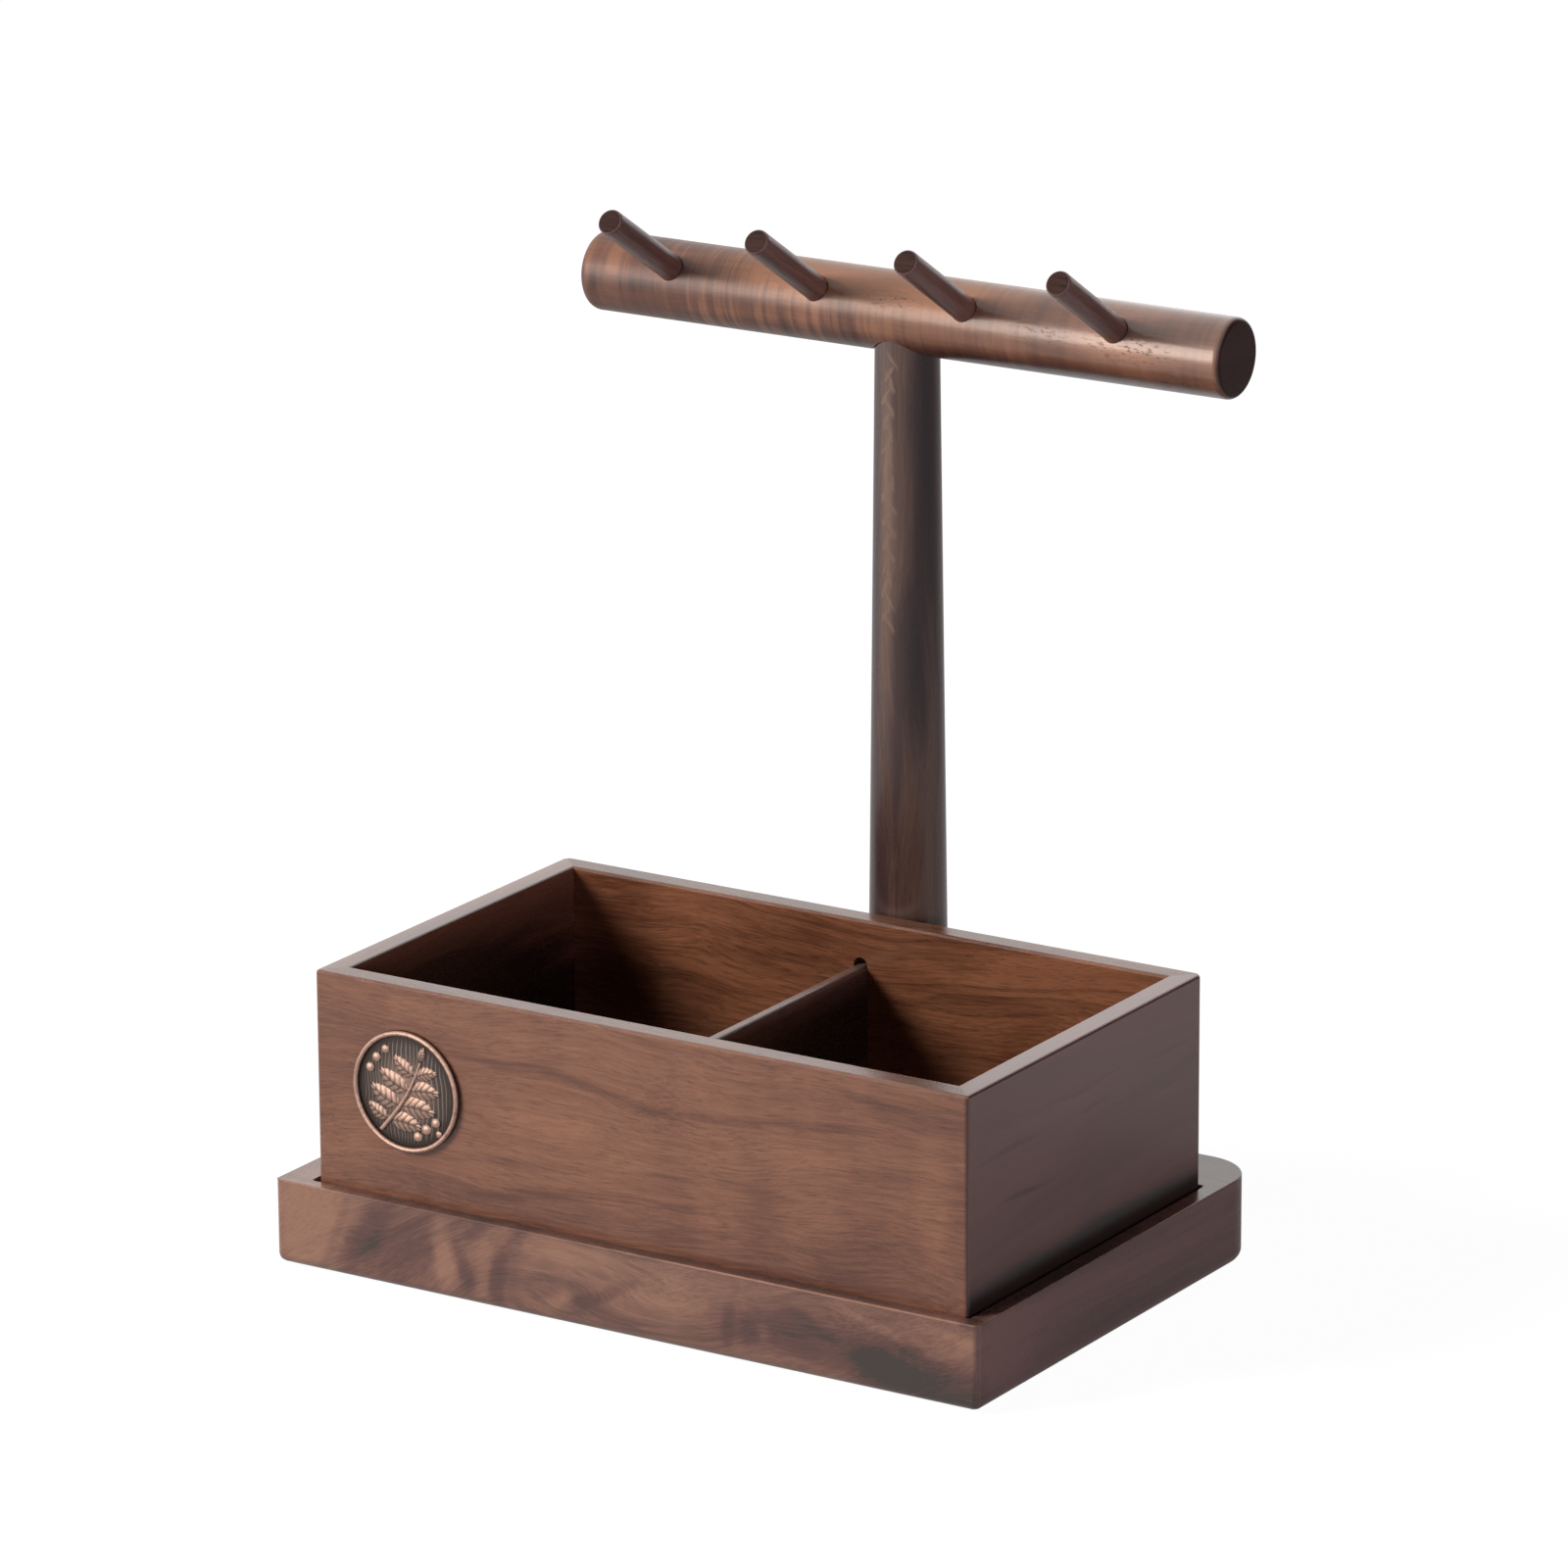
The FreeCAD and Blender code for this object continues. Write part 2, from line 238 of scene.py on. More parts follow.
floor = flat_sheet("floor", 6.0, Matrix.Identity(4))
pale_floor, tree, surface_in = new_material("pale_floor")
glow = add(tree, "ShaderNodeEmission", {"Color": WHITE, "Strength": ray_value(tree, 0.97, 0.2, 0.0)})
paper = add(tree, "ShaderNodeBsdfDiffuse", {"Color": ray_value(tree, 0.12, 0.7, 0.3)})
both = add(tree, "ShaderNodeAddShader", {0: glow.outputs[0], 1: paper.outputs[0]})
tree.links.new(both.outputs[0], surface_in)
floor.data.materials.append(pale_floor)

flag_turn = Matrix.Rotation(math.radians(47), 4, "Z") @ Matrix.Rotation(math.pi / 2, 4, "Y")
flag = flat_sheet("dark_flag", 1.0, Matrix.Translation((1.35, 1.45, 1.05)) @ flag_turn)
black_cloth, tree, surface_in = new_material("black_cloth")
cloth = add(tree, "ShaderNodeBsdfDiffuse", {"Color": (0.02, 0.02, 0.02, 1.0)})
tree.links.new(cloth.outputs[0], surface_in)
flag.data.materials.append(black_cloth)
flag.visible_camera = flag.visible_diffuse = flag.visible_shadow = False
print("floor", floor.dimensions[:], "flag", [round(v, 2) for v in flag.dimensions])

# %% [markdown]
# All the wood is the same walnut, cut in different ways, so one node group draws it. On the real
# wood four things show: growth rings, which a saw cut turns into long bands or swirls; fibres, fine
# lines along the board; pores, short dark dashes; and curl, light and dark bars across the grain.
# Each is a noise, stretched along the grain, in a space where the grain runs along X. A picture of
# wood could do the same, but would repeat and would not go through the corners as real wood does.


# %% Noise along the grain
def group_sockets(group, inputs, outputs):
    """Give a node group its named inputs with defaults, and its named outputs."""
    kinds = {float: "NodeSocketFloat", tuple: "NodeSocketColor", type(None): "NodeSocketVector"}
    for name, value in inputs.items():
        socket = group.interface.new_socket(name=name, in_out="INPUT", socket_type=kinds[type(value)])
        if value is not None:
            socket.default_value = value
    for name, kind in outputs.items():
        group.interface.new_socket(name=name, in_out="OUTPUT", socket_type="NodeSocket" + kind)
    return group.nodes.new("NodeGroupInput").outputs, group.nodes.new("NodeGroupOutput").inputs


def grain_noise(tree, vector, along, across, detail=2.0, roughness=0.5, start=(0.0, 0.0, 0.0)):
    """Noise with so many lumps per metre along and across the grain; start picks another part of it."""
    return noise(tree, stretch(tree, vector, (along, across, across), start), detail, roughness)


def centred(tree, value, weight):
    """A noise value spread to plus and minus half of a weight, a number or a socket."""
    return math_node(tree, "MULTIPLY", remap(tree, value, 0.36, 0.64, -0.5, 0.5), weight)


def times(tree, *values):
    """Product of two or more sockets or numbers."""
    product = values[0]
    for value in values[1:]:
        product = math_node(tree, "MULTIPLY", product, value)
    return product


walnut_inputs = {
    "Vector": None, "Facing End": 0.0, "Shade": 0.0,
    "Light Wood": (0.30, 0.14, 0.08, 1.0), "Dark Wood": (0.16, 0.065, 0.04, 1.0),
    "Vein": (0.05, 0.022, 0.018, 1.0), "End Wood": (0.06, 0.03, 0.02, 1.0),
    "Ring Width": 0.010, "Rings": 0.4, "Lines": 0.3, "Swirl": 0.010,
    "Broad": 0.3, "Streaks": 0.3, "Fibres": 0.35, "Curl": 0.0, "Shimmer": 0.0,
    "Pores": 0.4, "Pits": 0.0, "Gloss": 0.3, "Rough": 0.34}
walnut_outputs = {"Color": "Color", "Roughness": "Float", "Height": "Float", "Coat": "Float"}
print("walnut inputs", len(walnut_inputs))

# %% [markdown]
# Growth rings are shells round the heart of the trunk. A wave texture in rings draws them evenly,
# as a drawing does, but a living trunk is neither round nor even. So the space is first pushed about
# by a slow noise, and the distance from the heart line is then counted in ring widths. Each ring
# gives a soft band, and at three times the pace a thin dark line, both fading in and out in patches.


# %% Growth rings
def bend_space(group, space, swirl):
    """Push the space about, so that straight rings wander as in a living trunk."""
    wander = noise(group, stretch(group, space, (9.0, 22.0, 22.0)), output="Color")
    push = vector_node(group, "MULTIPLY", vector_node(group, "SUBTRACT", wander, (0.5,) * 3), swirl)
    return vector_node(group, "ADD", space, push)


def growth_rings(group, bent, ring_width):
    """Soft bands and thin lines, counted from the trunk's heart line."""
    from_heart = vector_node(group, "LENGTH", stretch(group, bent, (0.0, 1.0, 1.0)))
    count = math_node(group, "DIVIDE", from_heart, ring_width)
    count = math_node(group, "MULTIPLY_ADD", grain_noise(group, bent, 4.0, 60.0), 2.2, count)
    swing = math_node(group, "SINE", times(group, count, 2 * math.pi))
    patchy = remap(group, grain_noise(group, bent, 7.0, 30.0, start=(3.1, 1.7, 5.2)), 0.38, 0.62)
    band = times(group, remap(group, swing, -0.4, 1.0), patchy)
    phase = math_node(group, "FRACT", times(group, count, 3.0))
    line = times(group, remap(group, phase, 0.35, 0.90), remap(group, phase, 0.92, 1.0, 1.0, 0.0), patchy)
    return band, line


def curl_and_shimmer(group, space, given):
    """Bars across the grain, strong in some places, and a wide soft shimmer."""
    fine_bar = grain_noise(group, space, 430.0, 26.0, 2.0, 0.55, (1.0, 4.0, 7.0))
    wide_bar = grain_noise(group, space, 80.0, 14.0, start=(6.0, 1.0, 3.0))
    where = remap(group, grain_noise(group, space, 16.0, 30.0, 1.0, start=(2.0, 2.0, 8.0)),
                  0.36, 0.62, 0.35, 1.0)
    bars = math_node(group, "ADD", centred(group, fine_bar, 1.0), centred(group, wide_bar, 0.8))
    wide_soft = grain_noise(group, space, 38.0, 9.0, start=(4.0, 4.0, 4.0))
    return times(group, bars, where, given["Curl"]), centred(group, wide_soft, given["Shimmer"])


def end_grain(group, space, given):
    """Tone of a cut across the grain: soft streaks, and round pores instead of dashes."""
    streaks = noise(group, stretch(group, space, (30.0, 10.0, 230.0), (3.0, 9.0, 5.0)), 3.0, 0.6)
    dots = remap(group, grain_noise(group, space, 300.0, 2100.0, 2.0, 0.6), 0.50, 0.70)
    marks = math_node(group, "MULTIPLY_ADD", dots, 0.22, times(group, remap(group, streaks, 0.3, 0.7), 0.28))
    marks = math_node(group, "MULTIPLY_ADD", given["Shade"], 0.4, marks)
    return blend_colour(group, marks, given["End Wood"], given["Vein"])


# %% Walnut node group
def make_walnut_group():
    """Colour, roughness, height and coat of walnut whose grain runs along the X of its vector."""
    group = bpy.data.node_groups.new("walnut_grain", "ShaderNodeTree")
    given, out = group_sockets(group, walnut_inputs, walnut_outputs)
    space = given["Vector"]
    bent = bend_space(group, space, given["Swirl"])
    band, line = growth_rings(group, bent, given["Ring Width"])
    curl, shimmer = curl_and_shimmer(group, space, given)

    # From coarse to fine: broad tone, streaks, fibres, flecks on the fibres, and pores.
    broad = grain_noise(group, bent, 5.0, 45.0, start=(9.0, 2.0, 4.0))
    streak = grain_noise(group, bent, 9.0, 220.0, 3.0, 0.6, (2.0, 6.0, 1.0))
    fibre = grain_noise(group, bent, 45.0, 1200.0, 4.0, 0.6)
    fine = grain_noise(group, bent, 150.0, 2400.0, 3.0, 0.6, (0.4, 0.9, 0.1))
    pore = remap(group, grain_noise(group, bent, 130.0, 2100.0, 1.0, start=(5.0, 8.0, 2.0)), 0.57, 0.66)

    # One tone adds them all up: 0 is light wood, 1 is dark wood, and far above it comes vein colour.
    tone = math_node(group, "ADD", centred(group, broad, given["Broad"]), 0.45)
    for part in (centred(group, streak, given["Streaks"]), centred(group, fibre, given["Fibres"]),
                 times(group, band, given["Rings"]), curl, shimmer, given["Shade"]):
        tone = math_node(group, "ADD", tone, part)
    deep = remap(group, tone, 0.95, 1.7)
    tone = math_node(group, "MAXIMUM", math_node(group, "MINIMUM", tone, 1.0), -0.25)
    colour = blend_colour(group, tone, given["Light Wood"], given["Dark Wood"])
    flecks = times(group, remap(group, fine, 0.45, 0.75), given["Fibres"])
    dashes = math_node(group, "MULTIPLY_ADD", flecks, 0.75, times(group, pore, given["Pores"]), clamp=True)
    veined = math_node(group, "MULTIPLY_ADD", line, given["Lines"], dashes, clamp=True)
    colour = blend_colour(group, math_node(group, "MAXIMUM", veined, deep), colour, given["Vein"])

    # Pits are small places where the tool tore the surface out.
    torn = remap(group, grain_noise(group, space, 420.0, 1300.0, 3.0, 0.6, (7.0, 3.0, 9.0)), 0.56, 0.61)
    pit = math_node(group, "MULTIPLY", torn, given["Pits"], clamp=True)
    colour = blend_colour(group, pit, colour, given["Vein"])
    facing = remap(group, given["Facing End"], 0.42, 0.72)
    colour = blend_colour(group, facing, colour, end_grain(group, space, given))

    rough = math_node(group, "MULTIPLY_ADD", centred(group, fibre, given["Fibres"]), 0.15, given["Rough"])
    rough = math_node(group, "MULTIPLY_ADD", dashes, 0.12, rough)
    height = times(group, fibre, given["Fibres"], 0.7)
    height = math_node(group, "MULTIPLY_ADD", dashes, -1.0, height)
    height = math_node(group, "MULTIPLY_ADD", curl, 1.5, height)
    height = times(group, height, math_node(group, "SUBTRACT", 1.0, facing))
    height = math_node(group, "MULTIPLY_ADD", pit, -4.0, height)
    bare = math_node(group, "MAXIMUM", facing, pit)
    coat = times(group, math_node(group, "MULTIPLY_ADD", bare, -1.0, 1.0, clamp=True), given["Gloss"])
    for name, value in (("Color", colour), ("Roughness", rough), ("Height", height), ("Coat", coat)):
        group.links.new(value, out[name])
    return group


walnut_group = make_walnut_group()
print("walnut group nodes", len(walnut_group.nodes))

# %% [markdown]
# Some marks sit at a known place: the dark swirl at the right of the base's front, a dark wisp across
# the box's front, the light zigzag on the post. They could be painted on an image, but an image has
# a fixed size and its own map. Here each is a soft lens, darker or lighter than the wood round it.
# One small group draws such a lens, and a board adds up as many as it needs. The same lenses also
# paint light and shade at known places: painted shade, painted highlights and painted reflections.
# Patches have wavy edges, because a noise moves the space under them. Still ones don't, where an
# edge is near.


# %% Patch group for figure and painted light
def make_patch_group():
    """Mask of a soft tilted lens: its amount in its middle, 0 outside."""
    group = bpy.data.node_groups.new("figure_and_painted_light_patch", "ShaderNodeTree")
    given, out = group_sockets(group, {"Vector": None, "Centre": None, "Half Size": None, "Turn": 0.0,
                                       "Amount": 0.3}, {"Shade": "Float"})
    away = vector_node(group, "SUBTRACT", given["Vector"], given["Centre"])
    level = add(group, "ShaderNodeVectorRotate", {"Vector": away, "Angle": given["Turn"]},
                rotation_type="Y_AXIS").outputs[0]
    share = vector_node(group, "LENGTH", vector_node(group, "DIVIDE", level, given["Half Size"]))
    mask = remap(group, share, 0.25, 1.15, 1.0, 0.0)
    group.links.new(times(group, mask, given["Amount"]), out["Shade"])
    return group


patch_group = make_patch_group()


def on_face(y, reach, rows):
    """Patches on a front or back face, from rows of x, z, half width, half height, turn, amount."""
    return [((x, y, z), (wide, reach, high), turn, amount) for x, z, wide, high, turn, amount in rows]


def figure_and_painted_light(tree, vector, patches, waves):
    """Sum of patches in mm and degrees; waves are the edge noise's lumps per metre and its size."""
    lumps, sizes = waves
    ripple = noise(tree, stretch(tree, vector, lumps), 3.0, output="Color")
    push = stretch(tree, ripple, [size * MM for size in sizes], [-size * MM / 2 for size in sizes])
    wavy = vector_node(tree, "ADD", vector, push)
    total = None
    for centre, half, turn, amount in patches:
        inputs = {"Vector": wavy, "Centre": [v * MM for v in centre], "Half Size": [v * MM for v in half],
                  "Turn": math.radians(turn), "Amount": amount}
        shade = add(tree, "ShaderNodeGroup", inputs, node_tree=patch_group).outputs[0]
        total = shade if total is None else math_node(tree, "ADD", total, shade)
    return total


print("patch group nodes", len(patch_group.nodes))

# %% [markdown]
# A board's colour and figure depend on where in the trunk it was cut. So each piece gets the group
# with its own grain direction, its own distance from the heart and its own tones. A thin coat of
# satin oil lies over all of it. A value of the group can be one number for the whole piece, a ramp
# along one axis, or a list of patches, such as pits in one corner only.


# %% Walnut finish
def bend_grain(tree, vector, bends):
    """Lead the grain up or down before or after a place along it: (place, slope, side), side -1 or 1."""
    along, total = split(tree, vector, "X"), split(tree, vector, "Z")
    for place, slope, side in bends:
        kind = "SMOOTH_MIN" if side < 0 else "SMOOTH_MAX"
        past = math_node(tree, kind, math_node(tree, "SUBTRACT", along, place), 0.0, 0.04)
        total = math_node(tree, "MULTIPLY_ADD", past, slope, total)
    parts = {"X": along, "Y": split(tree, vector, "Y"), "Z": total}
    return add(tree, "ShaderNodeCombineXYZ", parts).outputs[0]


def surface_value(tree, where, value, waves):
    """Socket or number for a value: a list is patches, a tuple a ramp along an axis (axis, limits)."""
    if isinstance(value, list):
        return figure_and_painted_light(tree, where, value, waves)
    if isinstance(value, tuple):
        axis, limits = value[0], value[1:]
        return remap(tree, split(tree, where, axis), *limits)
    return value


def walnut(name, grain, heart, light, dark, vein, tilt=(0.0, 0.0), bends=(), end=None, patches=(),
           still=(), waves=((30.0,) * 3, (5.0,) * 3), specular=0.5, **values):
    """Material of oiled walnut whose grain runs along an axis, cut at a place given from the heart."""
    material, tree, surface_in = new_material(name)
    coordinates = add(tree, "ShaderNodeTexCoord").outputs
    where = coordinates["Object"]
    grain = Vector(grain).normalized()
    turn = grain.rotation_difference(Vector((1.0, 0.0, 0.0))).to_euler()
    rotation = (turn[0], turn[1] + tilt[0], turn[2] + tilt[1])
    mapping = add(tree, "ShaderNodeMapping", {"Vector": where, "Rotation": rotation, "Location": heart})
    wood = add(tree, "ShaderNodeGroup", node_tree=walnut_group)
    tones = {"Light Wood": light, "Dark Wood": dark, "Vein": vein, "End Wood": end or dark}
    for key, tone in tones.items():
        wood.inputs[key].default_value = tone + (1.0,)
    no_waves = (waves[0], (0.0,) * 3)
    shades = [figure_and_painted_light(tree, where, some, ripple)
              for some, ripple in ((patches, waves), (still, no_waves)) if some]
    if shades:
        shade = shades[0] if len(shades) == 1 else math_node(tree, "ADD", *shades)
        tree.links.new(shade, wood.inputs["Shade"])
    for key, value in values.items():
        feed(tree, wood.inputs[key.replace("_", " ").title()], surface_value(tree, where, value, waves))
    along = vector_node(tree, "DOT_PRODUCT", coordinates["Normal"], grain)
    tree.links.new(math_node(tree, "ABSOLUTE", along), wood.inputs["Facing End"])
    tree.links.new(bend_grain(tree, mapping.outputs[0], bends), wood.inputs["Vector"])
    bump = add(tree, "ShaderNodeBump", {"Strength": 0.25, "Distance": 0.12 * MM,
                                        "Height": wood.outputs["Height"]})
    surface = add(tree, "ShaderNodeBsdfPrincipled", {
        "Base Color": wood.outputs["Color"], "Roughness": wood.outputs["Roughness"],
        "Normal": bump.outputs[0], "IOR": 1.5, "Specular IOR Level": specular,
        "Coat Weight": wood.outputs["Coat"], "Coat Roughness": 0.16})
    tree.links.new(surface.outputs[0], surface_in)
    return material


# %% [markdown]
# The front board is a plain flat cut, so its bands run nearly level. Dark wisps drift over it from
# the left. One noise for the whole board could place such wisps only by luck. Patches put them where
# they belong: they are long and thin, and their waves are flat, so that they follow the fibres. Two
# still patches darken the board: along the rim, and low down near the base, where it is painted
# shade. Of the back board the inside shows most, a warm brown that is lighter at the right.

# %% Front and back boards
front_walnut = walnut(
    "walnut_front_board", (1, 0, 0), (0.31, 0.05, 0.075), (0.300, 0.128, 0.070), (0.132, 0.049, 0.029),
    (0.055, 0.022, 0.016), tilt=(0.04, 0.02), ring_width=0.022, rings=0.16, lines=0.22, swirl=0.022,
    broad=0.22, streaks=0.12, fibres=0.36, shimmer=0.20, pores=0.30, gloss=0.2, rough=0.24,
    waves=((40.0,) * 3, (7.0, 2.0, 3.0)),
    patches=on_face(-77, 9, [
        (-40, 76, 28, 2.2, 0, 0.42), (-8, 73.5, 24, 2.6, -8, 0.46), (25, 71.5, 26, 2.6, 4, 0.42),
        (66, 76, 32, 2.2, 6, 0.34), (84, 87, 20, 2.0, -7, 0.26), (-40, 46, 26, 2.4, 2, 0.38),
        (-28, 38, 38, 2.8, 9, 0.42), (14, 42.5, 22, 2.4, 2, 0.28), (14, 51, 12, 1.2, 3, 0.36),
        (42, 53, 24, 3, -5, 0.24), (47, 44, 12, 9, 0, 0.24), (86, 46, 20, 9, 0, 0.24),
        (-36, 88.5, 34, 2.6, 0, 0.20), (30, 91, 40, 2.4, 0, 0.16), (105, 60, 8, 26, 0, -0.36),
        (-28, 61, 20, 8, 0, -0.26), (-70, 88, 26, 5, 0, -0.25), (66, 65, 26, 5, 0, -0.18)]),
    # Still patches: darker along the rim, and painted shade low on the board near the base.
    still=[((0, -72, 94), (140, 7, 4), 0, 0.20), ((0, -77, 26), (170, 9, 16), 0, 0.40)])
back_walnut = walnut(
    "walnut_back_board", (1, 0, 0), (0.9, 0.11, 0.02), (0.262, 0.102, 0.050), (0.105, 0.034, 0.016),
    (0.036, 0.014, 0.009), tilt=(0.05, 0.01), ring_width=0.024, rings=0.30, lines=0.35, swirl=0.024,
    broad=0.25, streaks=0.18, fibres=0.40, shimmer=0.15, pores=0.30, gloss=0.2, rough=0.22,
    patches=on_face(52, 20, [
        (30, 86, 40, 2.0, -6, 0.15), (-40, 76, 46, 2.4, 6, 0.25), (85, 86, 50, 11, 0, -1.15),
        (45, 84, 50, 9, 0, -0.35), (90, 58, 46, 14, 0, 0.55), (-85, 70, 18, 40, 0, 0.3),
        (20, 84, 26, 6, 0, -0.3), (-47, 89, 34, 6, 0, -0.55), (44, 60, 26, 7, 0, 0.45)]),
    still=[((0, 55, 94), (160, 8, 3), 0, 0.1)])
print("finishes", front_walnut.name, back_walnut.name)

# %% [markdown]
# The side boards and the divider run away from the camera, so their grain runs along Y. The right
# board is dark and cool outside, with a few thin dark hairlines, and darker still near the base,
# where painted shade is added. Its inner face is lighter, so it has a finish of its own, from the
# same cut as the left board. A mask in one material could do the same, but two plain ones are easier
# to tune. The left board's inner face and the divider's sides get painted shade, and the divider's
# top a painted highlight at the front and painted shade at the back. On both side boards gloss is a
# ramp up the board, weak below and stronger near the rim, where hands polish it.

# %% Side boards, divider and bottom panel
side_cut = dict(grain=(0, 1, 0), heart=(1.7, 0.16, 0.06), light=(0.235, 0.096, 0.066),
                dark=(0.135, 0.054, 0.038), vein=(0.020, 0.010, 0.008), tilt=(0.04, 0.0),
                ring_width=0.030, rings=0.12, lines=0.06, swirl=0.022, broad=0.35, streaks=0.12,
                fibres=0.06, pores=0.0, rough=0.28)
side_walnut = walnut(
    "walnut_right_board", gloss=("Z", 0.029, 0.044, 0.0, 0.45), **side_cut,
    patches=[((115, -54, 71), (12, 20, 1.1), 0, 0.5), ((115, -46, 56), (12, 20, 1.1), 0, 0.6),
             ((115, -14, 78), (12, 26, 1.0), 0, 0.3), ((115, 38, 76), (12, 18, 1.0), 0, 0.3),
             ((115, -6, 71), (12, 12, 1.0), 0, 0.35)],
    # Painted shade: the still patches darken the right face towards the base.
    still=[((116, -10, 22), (9, 170, 16), 0, 1.9), ((116, -10, 30), (9, 150, 34), 0, 0.35)])
side_cut.update(heart=(2.1, 0.05, 0.07), light=(0.290, 0.124, 0.068), dark=(0.128, 0.048, 0.029),
                rings=0.25, fibres=0.2)
inner_walnut = walnut("walnut_right_inside", gloss=0.2, **side_cut)
# The left board's still patch darkens its inner face: painted shade.
left_walnut = walnut("walnut_left_board", gloss=("Z", 0.088, 0.093, 0.15, 0.45),
                     still=[((-104, -10, 50), (6, 120, 60), 0, 1.5)], **side_cut)
# On the divider, still patches paint a highlight on the front of the top, and shade on the back of the top
# and on its sides.
divider_walnut = walnut(
    "walnut_divider", (0, 1, 0), (2.3, 0.06, 0.12), (0.225, 0.128, 0.104), (0.075, 0.048, 0.040),
    (0.030, 0.020, 0.017), ring_width=0.018, rings=0.1, lines=0.1, swirl=0.015, pores=0.2, gloss=0.1,
    rough=0.28, still=[((1.9, 82, 79.6), (9, 50, 6), 0, 0.6), ((1.9, -10, 80), (9, 70, 4), 0, -1.2),
                       ((4, 20, 60), (6, 60, 18), 0, 1.4)])
panel_walnut = walnut(
    "walnut_panel", (1, 0, 0), (3.3, 0.2, 0.10), (0.120, 0.050, 0.030), (0.065, 0.025, 0.016),
    (0.028, 0.012, 0.009), ring_width=0.022, rings=0.25, lines=0.3, swirl=0.020)
print("finishes", side_walnut.name, inner_walnut.name, left_walnut.name, divider_walnut.name)

# %% [markdown]
# The base is cut near the heart, where the rings stand up and fold. Its front shows a light left
# end, dark tongues that lean to the left, a lighter middle and a dark cloud at the right corner.
# Stronger rings alone gave swirls in the wrong places, so two bends turn the grain, at the left and
# at the right, and patches set the tongues and the cloud. Still patches paint shade and light: painted
# shade and the box's painted reflection on the top beside the box, a painted highlight along the
# front's upper edge, painted sheen on the top's back right corner, and painted shade low on the right
# end. A patch also lightens the right end far back, a painted reflection.

# %% Base slab finish
base_walnut = walnut(
    "walnut_base_slab", (1, 0, 0), (0.0, 0.06, 0.0), (0.325, 0.162, 0.104), (0.132, 0.058, 0.047),
    (0.050, 0.036, 0.028), tilt=(0.0, 0.10), bends=((-0.035, -0.7, -1), (0.050, -0.25, 1)),
    end=(0.265, 0.135, 0.105), ring_width=0.026, rings=0.2, lines=0.30, swirl=0.055, broad=0.25,
    streaks=0.18, fibres=0.30, shimmer=0.2, pores=0.15, gloss=0.10, rough=0.22,
    waves=((75.0,) * 3, (8.0, 2.0, 5.0)),
    patches=on_face(-82, 20, [
        (-111, 15, 16, 24, 0, -0.50), (-101, 15, 2.5, 16, -20, 0.30), (-90, 16, 7, 20, -31, 0.62),
        (-78, 14, 17, 20, -20, 0.42), (-62, 15, 5.5, 17, 6, -0.50), (-50, 25, 3.6, 9, -50, 0.42),
        (-55, 12, 3.4, 12, 14, 0.50), (-48, 13, 3.5, 12, 0, -0.25), (-36, 24, 4.2, 10, -45, 0.42),
        (-42.5, 10, 3.8, 13, 0, 0.50), (-31, 12, 6, 10, 0, -0.30), (-22, 7, 9, 4, 20, -0.45),
        (-8, 11, 18, 2.6, 24, 0.42), (17, 11, 24, 7, 0, -0.28), (-5, 23, 40, 5, 0, -0.30),
        (39, 12, 3, 9, 5, 0.38), (46, 11, 4, 7, 20, 0.32), (51, 12, 3, 4, 0, -0.30),
        (78, 11, 36, 11, -6, 0.50), (110, 5, 34, 10, -12, 0.40), (90, 9, 12, 4, -12, 0.25),
        (102, 15, 10, 2.5, -12, 0.40), (66, 18, 14, 3, -22, 0.32), (114, 22.5, 13, 3.2, -10, -0.34),
        (88, 20.5, 13, 2.0, -18, -0.34), (17, 16, 16, 4, 0, -0.20)]) + [
        # On the right end: lighter at the front, and lighter far back as a painted reflection.
        ((125, -66, 19), (7, 22, 20), 0, -0.6), ((125, 40, 20), (7, 50, 8), 0, -0.35)],
    # Still patches: painted shade and the box's painted reflection on the lip beside the box's front and
    # right side, a painted highlight on the top front edge, painted shade low on the right end, three tones
    # of the front's figure, more painted shade along the top front edge, and painted sheen on the back right
    # corner of the top.
    still=[((0, -78.6, 27.5), (170, 3.4, 3), 0, 0.95), ((119.5, -36, 27.5), (5, 78, 3), 0, 0.85),
           ((62, -82.4, 27.4), (85, 0.6, 0.6), 0, -1.0), ((123, 10, 4), (6, 80, 12), 0, 0.6),
           ((114, -83, 5), (44, 8, 13), -8, 0.75), ((44, -83, 13), (26, 8, 12), 0, 0.28),
           ((-10, -83, 16), (24, 8, 9), 0, -0.16), ((0, -82.5, 27.6), (140, 2.5, 1.2), 0, 0.35),
           ((112, 66, 27.5), (24, 20, 3), 0, -0.7)])
print("finish", base_walnut.name)

# %% [markdown]
# Down the post runs a feather: light strokes that lean left and right in turn, as the wood has below
# a fork of the tree. A wave texture could zigzag too, but would run round the whole post. Each stroke
# is a thin patch instead, and a loop lays them one under the other, on the front only. Still patches
# tone the rest: darker beside the feather, and lighter low down at the right.

